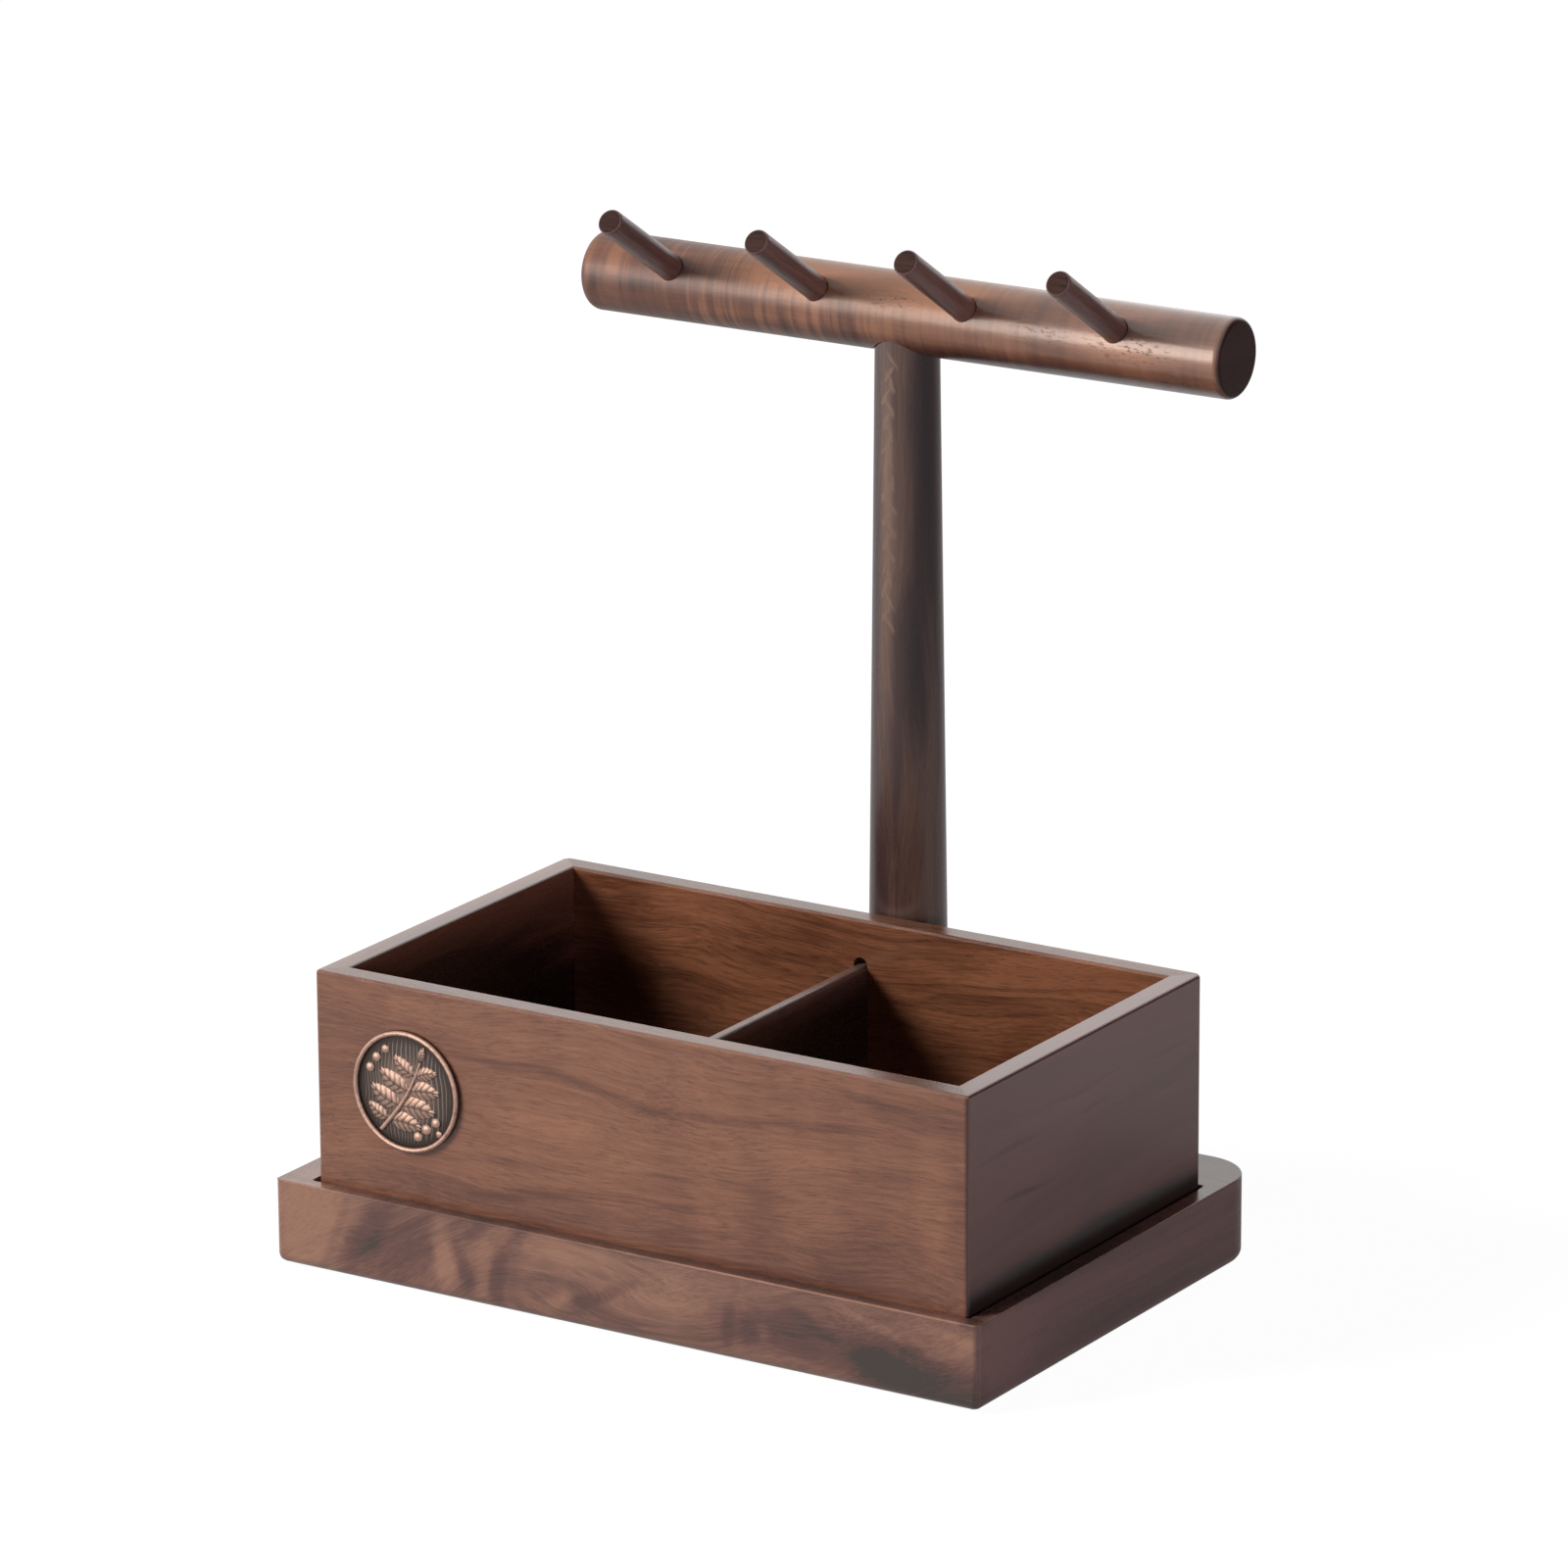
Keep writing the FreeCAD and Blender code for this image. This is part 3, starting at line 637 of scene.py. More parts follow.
# %% Post finish
strokes, stroke_gap, first_stroke = 23, 3.7, 266
feather = []
for number in range(strokes):
    lean = (-1) ** number
    place = (5.8 + 0.8 * lean, 59.5, first_stroke - stroke_gap * number)
    feather.append((place, (0.8, 7, 3.4), 24 * lean, -0.8))
post_walnut = walnut(
    "walnut_post", (0, 0, 1), (4.1, 0.03, 0.02), (0.180, 0.103, 0.070), (0.052, 0.026, 0.023),
    (0.026, 0.015, 0.014), ring_width=0.014, rings=0.30, lines=0.10, swirl=0.020, broad=0.45,
    streaks=0.25, fibres=0.18, pores=0.2, gloss=0.0, rough=0.24,
    waves=((90.0, 90.0, 190.0), (5.0, 5.0, 1.0)), patches=feather,
    still=[((17, 64, 250), (6, 12, 60), 0, 0.8), ((13, 60, 180), (3.5, 9, 46), 0, 0.5),
           ((0, 60, 80), (8, 10, 75), 0, 0.85), ((17, 64, 110), (6, 12, 70), 0, -0.7),
           ((-2, 64, 200), (7.5, 9, 120), 0, 1.4), ((6, 60, 110), (7, 9, 60), 0, 0.35),
           ((16, 62, 200), (4, 9, 130), 0, 0.4), ((5.9, 59.5, 225), (2.4, 7, 48), 0, -0.35),
           ((9, 60, 150), (3, 7, 45), 0, 0.45)])
print("finish", post_walnut.name, "strokes in the feather", len(feather))

# %% [markdown]
# The crossbar is curly walnut: bars cross it like ripples, strong at the left and weaker towards the
# right. There it was polished instead, so its coat rises along X while its roughness falls, and
# small pits show near the last peg. The pegs are plain and dark. The flat ends of bar and pegs are
# end grain, which drinks the oil and stays dull, so they get a finish without coat or much mirror.

# %% Crossbar, peg and end grain finishes
bar_walnut = walnut(
    "walnut_crossbar", (1, 0, 0), (5.2, 0.03, 0.02), (0.375, 0.168, 0.090), (0.140, 0.057, 0.037),
    (0.035, 0.015, 0.012), ring_width=0.020, rings=0.12, lines=0.10, swirl=0.012, broad=0.25,
    streaks=0.12, fibres=0.12, curl=("X", -0.09, 0.05, 0.78, 0.40), shimmer=0.30, pores=0.1,
    pits=[((90, 58, 281), (20, 14, 6), 0, 0.8), ((60, 58, 282), (14, 14, 4), 0, 0.6),
          ((8, 58, 285), (12, 14, 3), 0, 0.7), ((104, 60, 272), (10, 14, 4), 0, 0.6)],
    gloss=("X", 0.0, 0.10, 0.0, 0.75), rough=("X", -0.10, 0.0, 0.40, 0.30),
    waves=((45.0,) * 3, (8.0, 3.0, 3.0)),
    # The lighter patches on the top middle and at the right middle are painted highlight; the darker ones
    # along the left middle are painted shade that dims the highlight there.
    patches=on_face(60, 30, [
        (-97, 282, 3, 9, 0, 0.30), (-92, 285, 3, 9, 0, -0.30), (-68, 280, 9, 14, 10, 0.22),
        (5, 289, 46, 8, 0, -1.05), (98, 280.5, 34, 5, 0, -0.50), (100, 289, 40, 5, 0, 0.10),
        (-60, 279, 60, 4, 0, 0.22), (-88, 280, 13, 5, 0, 0.2), (-30, 288, 22, 6, 0, -0.5)]),
    # Painted shade: darker at the left end and along the underside.
    still=[((-115, 60, 284), (60, 40, 22), 0, 0.60), ((60, 60, 268), (90, 30, 6), 0, 0.5),
           ((-10, 60, 270), (120, 30, 6), 0, 0.4)])
peg_rise = math.radians(32.1)
peg_way = Vector((0, -math.cos(peg_rise), math.sin(peg_rise)))
peg_walnut = walnut(
    "walnut_peg", peg_way, (6.0, 0.02, 0.01), (0.290, 0.138, 0.102), (0.115, 0.054, 0.043),
    (0.024, 0.013, 0.012), ring_width=0.006, rings=0.2, lines=0.15, swirl=0.004,
    streaks=0.3, fibres=0.3, pores=0.2, gloss=0.0, rough=0.32)
end_walnut = walnut(
    "walnut_end_grain", (1, 0, 0), (7.0, 0.02, 0.01), (0.064, 0.031, 0.024), (0.036, 0.018, 0.015),
    (0.012, 0.007, 0.006), end=(0.064, 0.031, 0.024), ring_width=0.008, gloss=0.0, rough=0.45,
    specular=0.12)
print("walnut finishes", len([m for m in bpy.data.materials if m.name.startswith("walnut")]))

# %% [markdown]
# Small helpers for the shapes: one makes a block between two corners, one turns a half outline as on
# a lathe, one bevels edges to a round. The last makes a finished bmesh an object that stands at the
# origin, rides on its body and stands for its CAD node. Sharp corners are marked by angle, and the
# normals are weighted by area, so that wide faces stay flat beside a round.


# %% Piece helpers
def block(low, high):
    """bmesh of a block between two corners."""
    low, high = Vector(low), Vector(high)
    bm = bmesh.new()
    bmesh.ops.create_cube(bm, size=1.0)
    bmesh.ops.scale(bm, vec=high - low, verts=bm.verts)
    bmesh.ops.translate(bm, vec=(low + high) / 2, verts=bm.verts)
    return bm


def turned(points, centre, axis, steps):
    """bmesh of an outline turned fully about an axis through a centre."""
    bm = bmesh.new()
    verts = [bm.verts.new(point) for point in points]
    edges = [bm.edges.new(pair) for pair in zip(verts, verts[1:])]
    bmesh.ops.spin(bm, geom=verts + edges, cent=centre, axis=axis, angle=2 * math.pi,
                   steps=steps, use_merge=True, use_duplicate=False)
    bmesh.ops.remove_doubles(bm, verts=bm.verts, dist=0.1 * TOUCH)
    bmesh.ops.recalc_face_normals(bm, faces=bm.faces)
    return bm


def arc_points(centre, radius, start, stop, count):
    """Points on part of a circle, as (across, up) pairs."""
    turns = [start + (stop - start) * i / count for i in range(count + 1)]
    return [(centre[0] + radius * math.cos(t), centre[1] + radius * math.sin(t)) for t in turns]


def bevel(bm, geom, radius, segments, affect="EDGES"):
    """Round some edges, or the corners of a flat outline."""
    bmesh.ops.bevel(bm, geom=geom, offset=radius, offset_type="OFFSET", segments=segments,
                    profile=0.5, affect=affect, clamp_overlap=False, material=-1)


def at_height(edge, z):
    """True when both ends of an edge lie at a height."""
    return all(abs(v.co.z - z) < TOUCH for v in edge.verts)


def new_verts(made):
    """The points among what an extrusion made."""
    return [part for part in made["geom"] if isinstance(part, bmesh.types.BMVert)]


def second_finish(mesh, material, *ways):
    """Another finish on the faces that look one of some ways."""
    mesh.materials.append(material)
    for polygon in mesh.polygons:
        polygon.material_index = int(any(polygon.normal.dot(way) > 0.85 for way in ways))


def finish_piece(name, bm, body, material, slot, nodes=(), sharp=35.0, ends=None):
    """Object from a bmesh, with its finish, body and CAD nodes; faces along ends get end grain."""
    bmesh.ops.recalc_face_normals(bm, faces=bm.faces)
    mesh = bpy.data.meshes.new(name)
    bm.to_mesh(mesh)
    bm.free()
    for polygon in mesh.polygons:
        polygon.use_smooth = True
    mesh.set_sharp_from_angle(angle=math.radians(sharp))
    piece = bpy.data.objects.new(name, mesh)
    scene.collection.objects.link(piece)
    mesh.materials.append(material)
    if slot in ("walnut_bar", "antique_copper"):
        shone_on.objects.link(piece)
    if ends is not None:
        second_finish(mesh, end_walnut, ends, -ends)
    weighted = piece.modifiers.new("even_normals", "WEIGHTED_NORMAL")
    weighted.keep_sharp = True
    weighted.weight = 60
    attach(piece, body)
    if nodes:
        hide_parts(*nodes)
    print(name, "faces", len(mesh.polygons), "size mm", [round(v / MM, 2) for v in piece.dimensions])
    return piece


# %% [markdown]
# The base is one thick slab: square at the front, with wide round corners at the back and a shallow
# recess that holds the box. A Boolean could sink the recess, but planes that cut the top leave
# cleaner faces. So the back corners of a block are bevelled first, then the top is inset once, to
# keep the fine edges of the corners out of its middle, cut with four planes and pushed down.

# %% Base slab
base_low, base_high = map(Vector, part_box("base_slab"))
front_low, front_high = map(Vector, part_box("box_front_wall"))
back_high = Vector(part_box("box_back_wall")[1])
back_round = 17.0 * MM
lip_left, lip_front, lip_right = 10.4 * MM, 4.7 * MM, 5.75 * MM
recess_deep, gap_behind, top_inset = 4.0 * MM, 0.4 * MM, 4.0 * MM
recess_low = Vector((base_low.x + lip_left, base_low.y + lip_front, base_high.z - recess_deep))
recess_high = Vector((base_high.x - lip_right, back_high.y + gap_behind, base_high.z))


def level_face(bm, z, upward):
    """The largest face at height z that looks up or down."""
    wanted = 1.0 if upward else -1.0
    found = [f for f in bm.faces if abs(f.calc_center_median().z - z) < TOUCH and f.normal.z * wanted > 0.9]
    return max(found, key=lambda f: f.calc_area())


def cut_face(bm, face, cuts):
    """Cut one face with planes, each a point and a direction; hands back its pieces."""
    pieces = {face}
    for point, direction in cuts:
        edges = {e for f in pieces for e in f.edges}
        verts = {v for f in pieces for v in f.verts}
        made = bmesh.ops.bisect_plane(bm, geom=[*pieces, *edges, *verts], plane_co=point,
                                      plane_no=direction, dist=0.1 * TOUCH)
        pieces = {part for part in made["geom"] if isinstance(part, bmesh.types.BMFace)}
    return pieces


def cut_rectangle(bm, face, low, high):
    """Cut a rectangle, seen from above, into a level face; hands back the faces inside it."""
    planes = [(low, (1, 0, 0)), (high, (1, 0, 0)), (low, (0, 1, 0)), (high, (0, 1, 0))]
    found = []
    for piece in cut_face(bm, face, planes):
        middle = piece.calc_center_median()
        if low.x < middle.x < high.x and low.y < middle.y < high.y:
            found.append(piece)
    return found


def push(bm, faces, way):
    """Push some faces in or out, with walls beside them."""
    made = bmesh.ops.extrude_face_region(bm, geom=faces)
    bmesh.ops.delete(bm, geom=[f for f in faces if f.is_valid], context="FACES")
    bmesh.ops.translate(bm, vec=way, verts=new_verts(made))


bm = block(base_low, base_high)
back_corners = [e for e in bm.edges if all(abs(v.co.y - base_high.y) < TOUCH for v in e.verts)
                and abs(e.verts[0].co.x - e.verts[1].co.x) < TOUCH]
bevel(bm, back_corners, back_round, 14)
bmesh.ops.inset_region(bm, faces=[level_face(bm, base_high.z, True)], thickness=top_inset,
                       use_even_offset=True)
recess = cut_rectangle(bm, level_face(bm, base_high.z, True), recess_low, recess_high)
push(bm, recess, (0, 0, -recess_deep))
print("recess mm", [round(v / MM, 2) for v in recess_high - recess_low])

# %% [markdown]
# From below a screw holds the post, and its head sits in a stepped hole. The hole is seen only when
# the piece is turned over, but a flat cap there would look wrong. A square is cut into the bottom,
# its edges are divided as finely as a circle, and both are bridged. Then the circle goes up in
# steps: the wide bore, the slope under the head and the narrow bore for the shank.

# %% Screw hole under the base
post_low, post_high = map(Vector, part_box("post"))
post_x = (post_low.x + post_high.x) / 2
post_y = (post_low.y + post_high.y) / 2
head_r, shank_r, square_half = 4.45 * MM, 2.5 * MM, 9.0 * MM
post_foot = Vector((post_x, post_y, base_low.z))
corner = Vector((square_half, square_half, 0.0))
patch = cut_rectangle(bm, level_face(bm, base_low.z, False), post_foot - corner, post_foot + corner)
patch_edges = list({e for f in patch for e in f.edges})
bmesh.ops.delete(bm, geom=patch, context="FACES_ONLY")
bmesh.ops.subdivide_edges(bm, edges=patch_edges, cuts=7)
square = [e for e in bm.edges if e.is_boundary]
circle = bmesh.ops.create_circle(bm, cap_ends=False, radius=head_r, segments=32)["verts"]
bmesh.ops.translate(bm, vec=post_foot, verts=circle)
bmesh.ops.rotate(bm, cent=post_foot, matrix=Matrix.Rotation(math.pi / 4, 3, "Z"), verts=circle)
loop = list({e for v in circle for e in v.link_edges})
bmesh.ops.bridge_loops(bm, edges=square + loop)
about_post = Matrix.Translation((-post_x, -post_y, 0.0))
for rise, shrink in ((2.0 * MM, 1.0), (2.8 * MM, shank_r / head_r), (8.0 * MM, 1.0)):
    made = bmesh.ops.extrude_edge_only(bm, edges=loop)
    loop = [part for part in made["geom"] if isinstance(part, bmesh.types.BMEdge)]
    bmesh.ops.translate(bm, vec=(0, 0, rise), verts=new_verts(made))
    bmesh.ops.scale(bm, vec=(shrink, shrink, 1.0), space=about_post, verts=new_verts(made))
bmesh.ops.contextual_create(bm, geom=loop)
print("slab faces with recess and hole", len(bm.faces))

# %% [markdown]
# The slab's edges have rounds of different sizes: wide below, so that it looks light, smaller at the
# front corners and barely broken on top. They meet in the corners, where bevels made one after
# another would leave a knot. A Bevel modifier makes them together, from a weight on each edge that
# says how much of the widest round it gets.

# %% Soft edges of the base
bottom_round, front_round, top_round = 3.0 * MM, 2.2 * MM, 0.45 * MM
recess_corner_round, recess_rim_round = 1.6 * MM, 0.3 * MM


def on_outline(v):
    """True for a point on the slab's outer side."""
    on_side = any(abs(v.co[axis] - limit[axis]) < TOUCH
                  for axis in (0, 1) for limit in (base_low, base_high))
    at_back_round = v.co.y > base_high.y - back_round and abs(v.co.x) > base_high.x - back_round
    return on_side or (at_back_round and any(abs(f.normal.z) < 0.1 for f in v.link_faces))


def round_for(edge):
    """Radius of the round that an edge of the slab gets."""
    outer = all(on_outline(v) for v in edge.verts)
    first, second = (v.co for v in edge.verts)
    upright = abs(first.z - second.z)
    if outer and at_height(edge, base_low.z):
        return bottom_round
    if outer and at_height(edge, base_high.z):
        return top_round
    if outer and upright > TOUCH and first.y < 0:
        return front_round
    if upright > recess_deep - 0.1 * MM and first.z > recess_low.z - TOUCH:
        return recess_corner_round
    return recess_rim_round if at_height(edge, base_high.z) else 0.0


bmesh.ops.recalc_face_normals(bm, faces=bm.faces)
bm.normal_update()
weight = bm.edges.layers.float.new("bevel_weight_edge")
for edge in bm.edges:
    if len(edge.link_faces) == 2 and edge.calc_face_angle(0.0) > 0.5:
        edge[weight] = round_for(edge) / bottom_round
base_piece = finish_piece("base_board", bm, "stand", base_walnut, "walnut_base", ["base_slab"])
soft = base_piece.modifiers.new("soft_edges", "BEVEL")
soft.limit_method = "WEIGHT"
soft.width = bottom_round
soft.segments = 6
soft.use_clamp_overlap = False
base_piece.modifiers.move(1, 0)
print("modifiers on the base", [modifier.name for modifier in base_piece.modifiers])

# %% [markdown]
# The box is four boards whose ends are cut at 45 degrees, so that no end grain shows. They could be
# four blocks with slanted ends, but then the round corners would have to be fitted twice. Here each
# board starts as the whole plan of the box with rounded corners. Two slanting cuts and one straight
# cut leave one board's plan, which is pushed up to the rim, and the rim is rounded last. Made this
# way the four boards share the same corner round and meet exactly.

# %% Walls of the box
wall, rim_round = 8.0 * MM, 1.0 * MM
front_corner_round, back_corner_round = 1.4 * MM, 2.6 * MM
box_low = front_low
box_high = Vector((front_high.x, back_high.y, front_high.z))
sides = {"front": Vector((0, -1, 0)), "back": Vector((0, 1, 0)),
         "left": Vector((-1, 0, 0)), "right": Vector((1, 0, 0))}


def keep_below(bm, point, direction):
    """Cut off everything beyond a plane."""
    bmesh.ops.bisect_plane(bm, geom=[*bm.verts, *bm.edges, *bm.faces], plane_co=point,
                           plane_no=direction, clear_outer=True, dist=0.1 * TOUCH)


def mitred_board(side):
    """One wall of the box, with its share of the corner rounds and a rounded rim."""
    outward = sides[side]
    along = Vector((-outward.y, outward.x, 0))
    middle = (box_low + box_high) / 2
    half = (box_high - box_low) / 2
    bm = bmesh.new()
    bmesh.ops.create_grid(bm, x_segments=1, y_segments=1, size=1.0)
    bmesh.ops.scale(bm, vec=(half.x, half.y, 1.0), verts=bm.verts)
    bmesh.ops.translate(bm, vec=(middle.x, middle.y, box_low.z), verts=bm.verts)
    for way, radius in ((-1, front_corner_round), (1, back_corner_round)):
        corners = [v for v in bm.verts if abs(v.co.y - (middle.y + half.y * way)) < TOUCH]
        bevel(bm, corners, radius, 10, "VERTICES")
    for way in (-1, 1):
        to_corner = outward + along * way
        corner = middle + Vector((to_corner.x * half.x, to_corner.y * half.y, 0))
        keep_below(bm, corner, along * way - outward)
    inner = Vector((outward.x * (half.x - wall), outward.y * (half.y - wall), 0))
    keep_below(bm, middle + inner, -outward)
    made = bmesh.ops.extrude_face_region(bm, geom=list(bm.faces))
    bmesh.ops.translate(bm, vec=(0, 0, box_high.z - box_low.z), verts=new_verts(made))
    bmesh.ops.recalc_face_normals(bm, faces=bm.faces)
    bm.normal_update()
    rim = []
    for edge in bm.edges:
        if at_height(edge, box_high.z):
            beside = next(f for f in edge.link_faces if abs(f.normal.z) < 0.5)
            at_mitre = beside.normal.dot(outward) < 0 and abs(beside.normal.dot(along)) > 0.5
            if not at_mitre:
                rim.append(edge)
    bevel(bm, rim, rim_round, 4)
    return bm


# %% [markdown]
# The divider slides into two upright grooves, cut with a round bit, so each ends in a round above
# the divider: the small dark hole that shows at the back. A cylinder and a box could be subtracted,
# but the groove is only a pushed-in strip whose upper corners are bevelled to a half circle.

# %% Stopped grooves for the divider
divider_low, divider_high = map(Vector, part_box("box_divider"))
panel_top = Vector(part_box("box_bottom_panel")[1]).z
divider_x = (divider_low.x + divider_high.x) / 2
groove_half, groove_deep = 2.4 * MM, 3.0 * MM
groove_foot, groove_end = panel_top - 1.0 * MM, divider_high.z + groove_half


def cut_groove(bm, side):
    """Sink an upright groove into the wall's inner face and round its upper end."""
    outward = sides[side]
    plane = box_low.y + wall if side == "front" else box_high.y - wall
    inner = max((f for f in bm.faces if f.normal.dot(outward) < -0.99
                 and abs(f.calc_center_median().y - plane) < TOUCH), key=lambda f: f.calc_area())
    cuts = [((divider_x - groove_half, 0, 0), (1, 0, 0)), ((divider_x + groove_half, 0, 0), (1, 0, 0)),
            ((0, 0, groove_end), (0, 0, 1)), ((0, 0, groove_foot), (0, 0, 1))]
    strip_faces = []
    for piece in cut_face(bm, inner, cuts):
        middle = piece.calc_center_median()
        if abs(middle.x - divider_x) < groove_half and groove_foot < middle.z < groove_end:
            strip_faces.append(piece)
    push(bm, strip_faces, outward * groove_deep)
    corners = [e for e in bm.edges if at_height(e, groove_end)
               and all(abs(abs(v.co.x - divider_x) - groove_half) < TOUCH for v in e.verts)
               and abs(e.calc_length() - groove_deep) < TOUCH]
    bevel(bm, corners, groove_half * 0.995, 8)


wall_finish = {"front": front_walnut, "back": back_walnut, "left": left_walnut, "right": side_walnut}
for side in sides:
    bm = mitred_board(side)
    if side in ("front", "back"):
        cut_groove(bm, side)
    board = finish_piece(side + "_board", bm, "box", wall_finish[side], "walnut_box",
                         ["box_%s_wall" % side])
    if side == "right":
        second_finish(board.data, inner_walnut, Vector((-1, 0, 0)))
print("groove from", round(groove_foot / MM, 1), "to", round(groove_end / MM, 1), "mm")

# %% [markdown]
# The divider is a thin board across the box. Only its top edge is touched by hand, so only the two
# long edges there are rounded, and a bevel over all edges would open gaps at the grooves.

# %% Divider
bm = block(divider_low, divider_high)
divider_round = 1.5 * MM
long_edges = [e for e in bm.edges if at_height(e, divider_high.z)
              and abs(e.verts[0].co.y - e.verts[1].co.y) > TOUCH]
bevel(bm, long_edges, divider_round, 6)
finish_piece("divider_board", bm, "box", divider_walnut, "walnut_box", ["box_divider"])

# %% [markdown]
# Post, crossbar and pegs are turned on a lathe, and so are their meshes: half an outline is spun
# about the axis. A scaled cylinder would give the post its taper too, but not its straight foot and
# neck. The rounds at the ends are arcs in the outline, so their size is exact.

# %% Post
bar_low, bar_high = map(Vector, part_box("crossbar"))
bar_y, bar_z = (bar_low.y + bar_high.y) / 2, (bar_low.z + bar_high.z) / 2
bar_r = (bar_high.z - bar_low.z) / 2
foot_r, neck_r, foot_round = 12.0 * MM, 9.83 * MM, 0.3 * MM
straight_foot = 55.0 * MM
outline = [(0.0, base_high.z), (foot_r - foot_round, base_high.z), (foot_r, base_high.z + foot_round),
           (foot_r, base_high.z + straight_foot), (neck_r, bar_z - bar_r), (neck_r, post_high.z),
           (0.0, post_high.z)]
bm = turned([(post_x + r, post_y, z) for r, z in outline], (post_x, post_y, 0), (0, 0, 1), 96)
finish_piece("turned_post", bm, "stand", post_walnut, "walnut_post", ["post"])

# %% Crossbar
left_round, right_round = 3.0 * MM, 2.0 * MM
half_outline = [(bar_low.x, 0.0)]
half_outline += arc_points((bar_low.x + left_round, bar_r - left_round), left_round,
                           math.pi, math.pi / 2, 8)
half_outline += arc_points((bar_high.x - right_round, bar_r - right_round), right_round,
                           math.pi / 2, 0.0, 8)
half_outline += [(bar_high.x, 0.0)]
bm = turned([(x, bar_y, bar_z + r) for x, r in half_outline], (0, bar_y, bar_z), (1, 0, 0), 128)
crossbar_piece = finish_piece("round_bar", bm, "stand", bar_walnut, "walnut_bar", ["crossbar"],
                              ends=Vector((1, 0, 0)))

# %% [markdown]
# The four pegs are glued into blind bores and point forwards and up. Each is turned upright at the
# origin, where its outline is easy to read, and then laid along the pegs' direction. The same is
# done with the shape of its bore, a touch wider and with a small lead-in at the mouth, which is
# kept for the next step.

# %% Pegs
peg_names = sorted(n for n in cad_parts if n.startswith("peg_"))
peg_r, peg_reach, peg_deep, peg_round = 4.0 * MM, 38.6 * MM, 8.5 * MM, 0.85 * MM
bore_gap, lead_in, bottom_gap = 0.12 * MM, 0.35 * MM, 0.2 * MM
peg_root, peg_tip = bar_r - peg_deep, bar_r + peg_reach
peg_turn = Vector((0, 0, 1)).rotation_difference(peg_way).to_matrix().to_4x4()
cutters = []


def turned_along_peg(half_outline, x):
    """Turn an outline, and lay it along the pegs' direction, measured from the bar's axis at x."""
    bm = turned([(r, 0, z) for r, z in half_outline], (0, 0, 0), (0, 0, 1), 48)
    bmesh.ops.transform(bm, matrix=Matrix.Translation((x, bar_y, bar_z)) @ peg_turn, verts=bm.verts)
    return bm


peg_outline = [(0.0, peg_root), (peg_r, peg_root)]
peg_outline += arc_points((peg_r - peg_round, peg_tip - peg_round), peg_round, 0, math.pi / 2, 4)
peg_outline += [(0.0, peg_tip)]
bore_r, mouth = peg_r + bore_gap, bar_r + 2 * lead_in
bore_outline = [(0.0, peg_root - bottom_gap), (bore_r, peg_root - bottom_gap), (bore_r, bar_r - lead_in),
                (bore_r + 3 * lead_in, mouth), (0.0, mouth)]
for name in peg_names:
    low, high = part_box(name)
    x = (low[0] + high[0]) / 2
    finish_piece(name + "_dowel", turned_along_peg(peg_outline, x), "stand", peg_walnut, "walnut_peg",
                 [name], ends=peg_way)
    cutters.append(turned_along_peg(bore_outline, x))

# %% [markdown]
# The crossbar has five bores: one from below for the post's neck and one for each peg. A dark line
# shows round each peg on the real object, where the bore is a little wider. The round of a bore
# meets the round of the bar along a curve that no single operator draws, so a Boolean modifier cuts
# each bore, and its result becomes the bar's mesh.

# %% Bores in the crossbar
neck_bore_r, mouth = neck_r + 0.35 * MM, 0.8 * MM
under_bar, neck_top = bar_z - bar_r, post_high.z + 0.1 * MM
neck_bore = [(0.0, under_bar - mouth), (neck_bore_r + 2 * mouth, under_bar - mouth),
             (neck_bore_r, under_bar + mouth), (neck_bore_r, neck_top), (0.0, neck_top)]
cutters.append(turned([(post_x + r, post_y, z) for r, z in neck_bore], (post_x, post_y, 0), (0, 0, 1), 96))


def bore(piece, cutter_bm):
    """Subtract a shape from a piece and keep the result as its mesh."""
    mesh = bpy.data.meshes.new("bore")
    cutter_bm.to_mesh(mesh)
    cutter_bm.free()
    cutter = bpy.data.objects.new("bore", mesh)
    scene.collection.objects.link(cutter)
    weighted = piece.modifiers["even_normals"]
    weighted.show_viewport = False
    drill = piece.modifiers.new("bore", "BOOLEAN")
    drill.operation = "DIFFERENCE"
    drill.solver = "EXACT"
    drill.object = cutter
    bpy.context.view_layer.update()
    seen = piece.evaluated_get(bpy.context.evaluated_depsgraph_get())
    piece.data = bpy.data.meshes.new_from_object(seen)
    piece.modifiers.remove(drill)
    weighted.show_viewport = True
    bpy.data.objects.remove(cutter)


for cutter_bm in cutters:
    bore(crossbar_piece, cutter_bm)
crossbar_piece.data.set_sharp_from_angle(angle=math.radians(35))
print("bored crossbar faces", len(crossbar_piece.data.polygons))

# %% [markdown]
# The medallion is cast copper that was darkened and then rubbed: bright where a cloth reaches, nearly
# black in the depths. A pointiness mask could find the high places, but it depends on how fine the
# mesh is. Height is safer here: the disc looks along Y, so the place along Y says how deep a spot
# lies, and an attribute from the leaves marks their creases. A wave draws the fine lines of the
# sunken ground. Just inside the ring the field also gets painted shade of the ring.

# %% Antique copper
medal_low, medal_high = map(Vector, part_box("medallion"))
medal_x, medal_z = (medal_low.x + medal_high.x) / 2, (medal_low.z + medal_high.z) / 2
medal_r = (medal_high.x - medal_low.x) / 2


